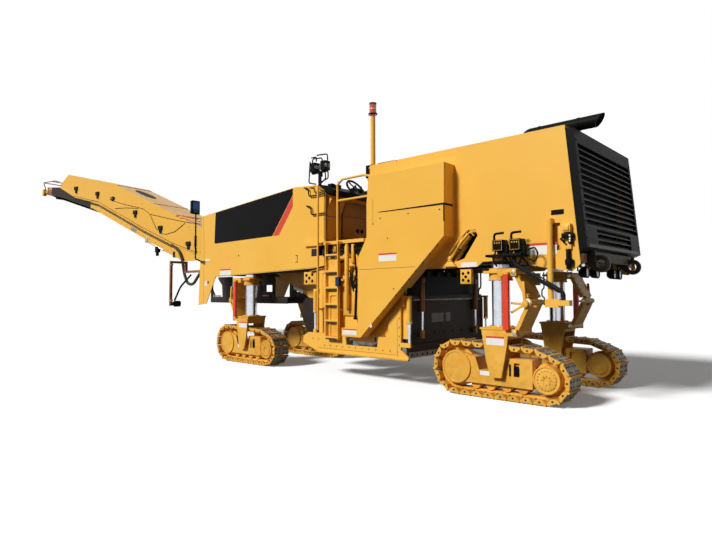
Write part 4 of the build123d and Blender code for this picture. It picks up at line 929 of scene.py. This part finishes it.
def conveyor_details():
    conveyor_side("left", boom)
    conveyor_side("right", right(boom))
    # under the beam: travel sensors, a small cylinder and its brackets
    gear = Piece("boom_gear", "boom", zinc, boom)
    gear.rod((2522, 470, 2470), (1950, 470, 2240), 26).rod((1950, 470, 2240), (1584, 470, 2100), 14)
    gear.box(2500, 2580, 440, 500, 2440, 2580).done()
    dark = Piece("boom_gear_dark", "boom", black, boom)
    dark.box(2120, 2220, 430, 500, 2200, 2330).box(1540, 1600, 440, 500, 2060, 2190).rod((2170, 470, 2205),
        (2170, 470, 2120), 34).done()
    # bent hose at the tail
    loop = Piece("tail_hose", "boom", worn_hose, boom, bevel=0)
    loop.pipe([(1616, 524, 2339), (1380, 524, 2215), (1252, 524, 1992), (1193, 524, 1699), (1075, 524, 1470),
        (900, 524, 1450),
               (800, 500, 1600), (700, 440, 1780)], 31, n=12, bend=8, turn=260)
    loop.done()
    bar = Piece("orange_bar", "boom", red, boom, bevel=0)
    bar.rod((1501, 504, 2982), (799, 504, 2855), 13).done()
    eye = Piece("yellow_bar", "boom", yellow, boom, bevel=0)
    eye.rod((1363, 516, 2945), (722, 516, 2800), 15).rod((1363, 500, 2945), (1363, 520, 2945), 24).done()
    # the cover's top: inspection slot, ribs and screws
    def top(s, y, h):
        """h mm off the cover's rising top."""
        z = 2500 + (s - 300) * 1460 / 3525
        return boom(s - h * 0.3827, y, z + h * 0.9239)

    slot = Piece("cover_slot", "boom", black, top, bevel=0)
    ring = [(3180 + 330 * cos(t), 60 + 185 * sin(t)) for t in (2 * pi * i / 32 for i in range(32))]
    slot.loft([[top(s, y, h) for s, y in ring] for h in (0, 2)]).done()
    ribs = Piece("cover_ribs", "boom", yellow, top)
    for s in (700, 1500, 2300, 3700):
        ribs.box(s, s + 40, -498, 498, 0, 8)
    ribs.done()
    bolts("cover_screws", "boom", [((s + 20, y, 8), (0, 0, 1)) for s in (700, 1500, 2300, 3700)
        for y in range(-450, 451, 150)], zinc, 8, place=top)
    # head: drum motor, wire guard and scraper
    motor = Piece("head_motor", "boom", burnt, boom)
    motor.rod((6715, -480, 4040), (6715, -497, 4040), 90).rod((6715, 480, 4040), (6715, 497, 4040), 90)
    motor.rod((7180, -312, 4110), (7180, 312, 4110), 63).rod((6980, 338, 4080), (6620, 470, 4085), 34).done()
    frame_ends = Piece("head_brackets", "boom", yellow, boom)
    for y in (-1, 1):
        frame_ends.box(7260, 7339, *sorted((y * 300, y * 380)), 4020, 4200)
        frame_ends.box(6640, 6800, *sorted((y * 480, y * 495)), 3960, 4150)
    frame_ends.done()
    wire = Piece("head_wire", "boom", burnt, boom, bevel=0)
    for y in (-385, 385):
        wire.pipe([(7290, y * 0.8, 4190), (7270, y, 4385), (6660, y, 4372), (6330, y, 4262)], 12)
    wire.rod((7272, -385, 4382), (7272, 385, 4382), 12).rod((6850, -385, 4376), (6850, 385, 4376), 12)
    wire.done()
    wiper = Piece("head_scraper", "boom", rubber, boom)
    wiper.box(6590, 6620, -390, 390, 3860, 3925).done()


# ---- crawlers and legs ----
TRACK = dict(length=1800, width=320, idler=343, sprocket=291, shoes=26, thick=16, grouser=14)


def loop_point(share, depth):
    """A point of the track's outline and the way outward there, depth mm inside the tips."""
    front, rear = TRACK["length"] / 2 - TRACK["idler"], TRACK["sprocket"] - TRACK["length"] / 2
    lean = (TRACK["idler"] - TRACK["sprocket"]) / (front - rear)
    top = radians(90) + lean
    big, small = TRACK["idler"] - depth, TRACK["sprocket"] - depth
    arcs = (front - rear, big * (top + pi / 2), hypot(front - rear, big - small), small * (3 * pi / 2 - top))
    way = share * sum(arcs)
    if way <= arcs[0]:
        return rear + way, depth, (0, -1)
    way -= arcs[0]
    if way <= arcs[1]:
        a = way / big - pi / 2
        return front + big * cos(a), TRACK["idler"] + big * sin(a), (cos(a), sin(a))
    way -= arcs[1]
    if way <= arcs[2]:
        x = front + big * cos(top) - way * sin(top)
        z = TRACK["idler"] + big * sin(top) + way * cos(top)
        return x, z, (cos(top), sin(top))
    a = (way - arcs[2]) / small + top
    return rear + small * cos(a), TRACK["sprocket"] + small * sin(a), (cos(a), sin(a))


def shoe_frames():
    """Start, direction and length of every shoe, as the chain's joints give them."""
    joints = [loop_point(i / TRACK["shoes"], TRACK["thick"] + TRACK["grouser"])[:2]
        for i in range(TRACK["shoes"])]
    out = []
    for a, b in zip(joints, joints[1:] + joints[:1]):
        d = hypot(b[0] - a[0], b[1] - a[1])
        out.append((a, ((b[0] - a[0]) / d, (b[1] - a[1]) / d), d))
    return out


def leg_details(name, x0, side, way):
    place = leg(x0, side)
    crawler = "crawler_" + name
    pads = Piece("shoe_pads_" + name, crawler, shoe_steel, place, bevel=0)
    holes = Piece("shoe_holes_" + name, crawler, gap_and_shade_brown, place, bevel=0)
    spots = []
    for (ax, az), (ux, uz), length in shoe_frames():
        def at(s, h):
            return ax + s * ux + h * uz, az + s * uz - h * ux

        for y0, y1 in ((-152, -8), (8, 152)):
            face = [at(38, 16), at(length - 10, 16), at(length - 10, 17.2), at(38, 17.2)]
            pads.loft([[place(x, y, z) for x, z in face] for y in (y0, y1)])
        x, z = at(length / 2, -14)
        for y0, y1 in ((-161.2, -159), (159, 161.2)):
            holes.rod((x, y0, z), (x, y1, z), 13, n=10)
        for s in (62, length - 32):
            x, z = at(s, 17)
            spots += [((x, y, z), (uz, 0, -ux)) for y in (-118, -52, 52, 118)]
    pads.done()
    holes.done()
    bolts("shoe_bolts_" + name, crawler, spots, gap_and_shade_brown, 9, place=place)
    front, rear = TRACK["length"] / 2 - TRACK["idler"], TRACK["sprocket"] - TRACK["length"] / 2
    rims = Piece("frame_rims_" + name, crawler, leg_yellow, place)
    drive = []
    for y, out in ((137, 1), (-137, -1)):
        rims.ring((front, y, TRACK["idler"]), (0, out, 0), 203, 180, 6)
        rims.ring((rear, y + 4 * out, TRACK["sprocket"]), (0, out, 0), 158, 140,
            8).ring((rear, y + 4 * out, TRACK["sprocket"]), (0, out, 0), 120, 30, 7)
        for i in range(18):
            t = 2 * pi * i / 18
            drive.append(((rear + 105 * cos(t), y + 11 * out, TRACK["sprocket"] + 105 * sin(t)), (0, out, 0)))
        for i in range(8):
            t = 2 * pi * i / 8
            drive.append(((rear + 50 * cos(t), y + 11 * out, TRACK["sprocket"] + 50 * sin(t)), (0, out, 0)))
    rims.done()
    bolts("drive_bolts_" + name, crawler, drive, leg_yellow, 8, place=place)
    marks("frame_slots_" + name, crawler, vinyl_black, 125,
        [rect(-180, 290, -154, 428), rect(-280, 290, -212, 412)], 1.2, place=place)
    marks("frame_label_" + name, crawler, vinyl, 125, [rect(100, 268, 228, 322)], 0.8, place=place)
    # chain pins between the links
    pins = Piece("chain_pins_" + name, crawler, steel, place, bevel=0)
    for (ax, az), (ux, uz), length in shoe_frames():
        x, z = ax - 26 * uz, az + 26 * ux
        pins.rod((x, -78, z), (x, 78, z), 15, n=10)
    pins.done()
    labels("blade_label_" + name, crawler, 196, [(-135, 645, 100, 750)], place=place)
    cap = Piece("yoke_bolts_plate_" + name, crawler, leg_yellow, place)
    cap.ring((0, 0, 850), (0, 0, 1), 150, 108.5, 14).done()
    ring = [((132 * cos(2 * pi * i / 10), 132 * sin(2 * pi * i / 10), 864), (0, 0, 1)) for i in range(10)]
    bolts("yoke_bolts_" + name, crawler, ring, zinc, 8, place=place)
    # collar: clamp ring with its bolts
    steer = "steer_" + name
    band = Piece("collar_band_" + name, steer, leg_yellow, place)
    band.ring((0, 0, 1425), (0, 0, -1), 146, 111, 14).done()
    ring = [((128 * cos(2 * pi * (i + 0.5) / 8), 128 * sin(2 * pi * (i + 0.5) / 8), 1411), (0, 0, -1))
        for i in range(8)]
    bolts("collar_bolts_" + name, steer, ring, zinc, 8, place=place)
    heads = Piece("pin_heads_" + name, steer, zinc, place)
    for y in (202, -202):
        s = 1 if y > 0 else -1
        heads.rod((way * LINK_OUT, y, LINK_TOP), (way * LINK_OUT, y + 5 * s, LINK_TOP), 27)
    heads.done()
    heads = Piece("pin_heads_low_" + name, crawler, zinc, place)
    for y in (202, -202):
        s = 1 if y > 0 else -1
        heads.rod((way * LINK_OUT, y, LINK_LOW), (way * LINK_OUT, y + 5 * s, LINK_LOW), 27)
    heads.done()
    # stiffening plates and screws on the links' outer faces
    for half, z0 in (("upper", LINK_TOP), ("lower", LINK_LOW)):
        a, k = Vector((way * LINK_OUT, 0, z0)), Vector((way * KNEE_OUT, 0, (LINK_TOP + LINK_LOW) / 2))
        u = (k - a).normalized()
        n = Vector((-u.z, 0, u.x)) * (-1 if (-u.z) * way < 0 else 1)
        spots = []
        for t in (70, 150, 230, 300):
            p = a + u * t + n * 24
            spots += [((p.x, y, p.z), (n.x, 0, n.z)) for y in (-135, 135)]
        bolts(f"link_bolts_{half}_{name}", f"link_{half}_{name}", spots, leg_yellow, 10, place=place)
        if half == "upper":
            arms = Piece("knee_arms_" + name, f"link_upper_{name}", leg_yellow, place)
            eye = (way * 392, 1130)
            arms.side(strip(eye, (way * 224, 1142), 26), 174, 188).side(strip(eye, (way * 224, 1032), 26),
                174, 188)
            arms.side(strip(eye, (way * 372, 1390), 34), 174, 188).rod((eye[0], 172, eye[1]),
                (eye[0], 196, eye[1]), 40)
            arms.done()
        if half == "lower":
            knee = Piece(f"knee_pin_{half}_{name}", f"link_{half}_{name}", zinc, place)
            for y in (165, -165):
                s = 1 if y > 0 else -1
                knee.rod((k.x, y, k.z), (k.x, y + 8 * s, k.z), 24)
            knee.done()


# ---- milling unit ----
def milling_details():
    for name, place in (("left", machine), ("right", right(machine))):
        skid = Piece("skid_wear_" + name, "side_" + name, leg_yellow, place)
        skid.side([(1262, 352), (2985, 352), (3342, 492), (3342, 515), (2975, 378), (1262, 378)], 1046.5,
            1050)
        skid.done()
        spots = [((x, 1028, 470 if x < 3000 else 560), (0, 1, 0)) for x in range(1440, 3200, 130)]
        spots += [((1410, 1028, z), (0, 1, 0)) for z in (560, 680, 800, 920)]
        bolts("side_plate_bolts_" + name, "side_" + name, spots, leg_yellow, 11, place=place)
        marks("side_plate_gaps_" + name, "side_" + name, gap_and_shade_brown, 1028,
            [strip((1440, 900), (1440, 400), 4), strip((1440, 420), (3000, 420), 4)], 0.6, place)
        rod = Piece("lift_chrome_" + name, "side_" + name, chrome, place)
        rod.rod((1248, 1008, 592), (1248, 1008, 845), 18.8).rod((3090, 1008, 702), (3090, 1008, 955),
            18.8).done()
        caps = Piece("lift_glands_" + name, "machine", zinc, place)
        caps.ring((1248, 1008, 850), (0, 0, 1), 37, 34.4, 24).ring((3090, 1008, 960), (0, 0, 1), 37, 34.4,
            24).done()
        bearing = Piece("drum_bearing_" + name, "machine", steel, place)
        bearing.ring((2100, 995, 885), (0, 1, 0), 119, 76, 2).done()
    # moldboard: worn steel edge strip, blank grey labels and screws, seen from behind
    back = 1340 - 6 - 34
    edge_tone = Piece("mold_edge", "moldboard", shoe_steel)
    edge_tone.box(back - 8, back, -950, 950, 385, 460).done()
    tags = Piece("mold_labels", "moldboard", vinyl_grey, bevel=0)
    for y0, y1 in ((420, 120), (60, -60)):
        tags.box(back - 1.2, back, y1, y0, 845, 975)
    tags.done()
    spots = [((back - 8, y, 420), (-1, 0, 0)) for y in range(-900, 901, 120)]
    spots += [((back, y, 700), (-1, 0, 0)) for y in range(-840, 841, 240)]
    bolts("mold_bolts", "moldboard", spots, black, 11)
    wall = Piece("housing_back", "machine", black, bevel=0)
    wall.box(1337, 1339.8, -940, 940, 1158, 1572)
    wall.done()
    ribs = Piece("housing_ribs", "machine", underbody)
    for y in (-500, -250, 0, 250, 500):
        ribs.box(1290, 1336, y - 12, y + 12, 1500, 1570)
    ribs.done()
    # moldboard cylinders: barrels on the housing, rods and clevises on the board
    barrels = Piece("mold_barrels", "machine", burnt)
    barrels.ring((1258, 700, 1004), (0, 0, 1), 36, 26, 396).box(1230, 1290, 665, 735, 1400,
        1470).both().done()
    rods = Piece("mold_rods", "moldboard", chrome)
    rods.rod((1258, 700, 740), (1258, 700, 1090), 17).both().done()
    ends = Piece("mold_clevises", "moldboard", leg_yellow)
    ends.box(1236, 1280, 678, 722, 640, 745).box(1280, 1300, 690, 710, 650, 700).both().done()
    rail = Piece("mold_top_rail", "moldboard", steel)
    rail.rod((1282, -880, 1170), (1282, 880, 1170), 14).done()
    # water and hydraulic pipes under the frame
    pipes = Piece("frame_pipes", "machine", hose, bevel=0)
    for i, y in enumerate((-420, -380, -340, 340, 380, 420)):
        pipes.pipe([(-840, y, 1640), (1300, y, 1640)], 12)
        pipes.pipe([(3100, y, 1650), (3400, y, 1780), (5800, y, 1780)], 12)
    pipes.done()
    tank = Piece("water_tank", "machine", underbody)
    tank.box(-700, 380, -400, 400, 1655, 1700).done()


def chassis_details():
    """Dark panels that close the bodywork's underside behind the legs."""
    floor_ = Piece("belly_pans", "machine", underbody)
    floor_.box(-860, -200, -930, -660, 1660, 1672).box(-860, -200, 660, 930, 1660, 1672)
    floor_.box(200, 1330, -930, -660, 1640, 1652).box(200, 1330, 660, 930, 1640, 1652)
    floor_.done()



# ---- camera, light and floor ----
def camera():
    data = bpy.data.cameras.new("camera")
    data.sensor_width, data.lens = 36, 27.52
    obj = bpy.data.objects.new("camera", data)
    ahead = Vector((0.68014, -0.73152, 0.04775))
    across = Vector((-0.73228, -0.68100, -0.00227))
    up = Vector((-0.03418, 0.03343, 0.99886))
    turn = Matrix((across, up, -ahead)).transposed().to_4x4()
    obj.matrix_world = Matrix.Translation(machine(-3205, 6843.5, 1262.6)) @ turn
    bpy.context.scene.collection.objects.link(obj)
    bpy.context.scene.camera = obj


def lights():
    data = bpy.data.lights.new("key", "SUN")
    data.energy, data.angle = 3.5, radians(12)
    obj = bpy.data.objects.new("key", data)
    toward = Vector((0.22, 0.80, 0.56))
    obj.rotation_euler = toward.to_track_quat("Z", "Y").to_euler()
    bpy.context.scene.collection.objects.link(obj)
    world = bpy.data.worlds.new("studio")
    world.use_nodes = True
    tree = world.node_tree
    rays = add(tree, "ShaderNodeLightPath").outputs
    seen = add(tree, "ShaderNodeMath", {0: rays["Is Camera Ray"], 1: rays["Is Glossy Ray"]},
        operation="MAXIMUM")
    seen = add(tree, "ShaderNodeMath", {0: seen.outputs[0], 1: rays["Is Transmission Ray"]},
        operation="MAXIMUM")
    level = add(tree, "ShaderNodeMix", {"Factor": seen.outputs[0], "A": 0.10, "B": 1.0}, data_type="FLOAT")
    tree.links.new(level.outputs[0], tree.nodes["Background"].inputs["Strength"])
    tree.nodes["Background"].inputs["Color"].default_value = (1, 1, 1, 1)
    bpy.context.scene.world = world


def floor():
    mesh = bpy.data.meshes.new("floor")
    mesh.from_pydata([(-60, -60, 0), (60, -60, 0), (60, 60, 0), (-60, 60, 0)], [], [(0, 1, 2, 3)])
    obj = bpy.data.objects.new("floor", mesh)
    bpy.context.scene.collection.objects.link(obj)
    mat = bpy.data.materials.new("studio_floor")
    mat.use_nodes = True
    tree = mat.node_tree
    rays = add(tree, "ShaderNodeLightPath").outputs
    seen = add(tree, "ShaderNodeMath", {0: rays["Is Camera Ray"], 1: rays["Is Glossy Ray"]},
        operation="MAXIMUM")
    seen = add(tree, "ShaderNodeMath", {0: seen.outputs[0], 1: rays["Is Transmission Ray"]},
        operation="MAXIMUM").outputs[0]
    grain = add(tree, "ShaderNodeTexNoise", {"Vector": add(tree, "ShaderNodeTexCoord").outputs["Object"],
        "Scale": 3.0}).outputs[0]
    pale = add(tree, "ShaderNodeMix", {"Factor": grain, "A": (1.28, 1.28, 1.28, 1),
        "B": (1.32, 1.32, 1.32, 1)}, data_type="RGBA")
    tone = add(tree, "ShaderNodeMix", {"Factor": seen, "A": (0.07, 0.07, 0.07, 1), "B": pale.outputs[2]},
        data_type="RGBA")
    matt = add(tree, "ShaderNodeBsdfDiffuse", {"Color": tone.outputs[2]})
    glow = add(tree, "ShaderNodeMath", {0: seen, 1: 0.1}, operation="MULTIPLY")
    glow = add(tree, "ShaderNodeEmission", {"Color": (1, 1, 1, 1), "Strength": glow.outputs[0]})
    both = add(tree, "ShaderNodeAddShader", {0: matt.outputs[0], 1: glow.outputs[0]})
    tree.links.new(both.outputs[0], tree.nodes["Material Output"].inputs["Surface"])
    obj.data.materials.append(mat)


front_markings()
well()
work_lamp_details()
mast_details()
guard_details()
rear_details()
grille_details()
pod_details()
front_details()
conveyor_details()
for name, x, side, way in LEGS:
    leg_details(name, x, side, way)
milling_details()
chassis_details()
camera()
lights()
floor()
bpy.context.scene.view_settings.view_transform = "Standard"
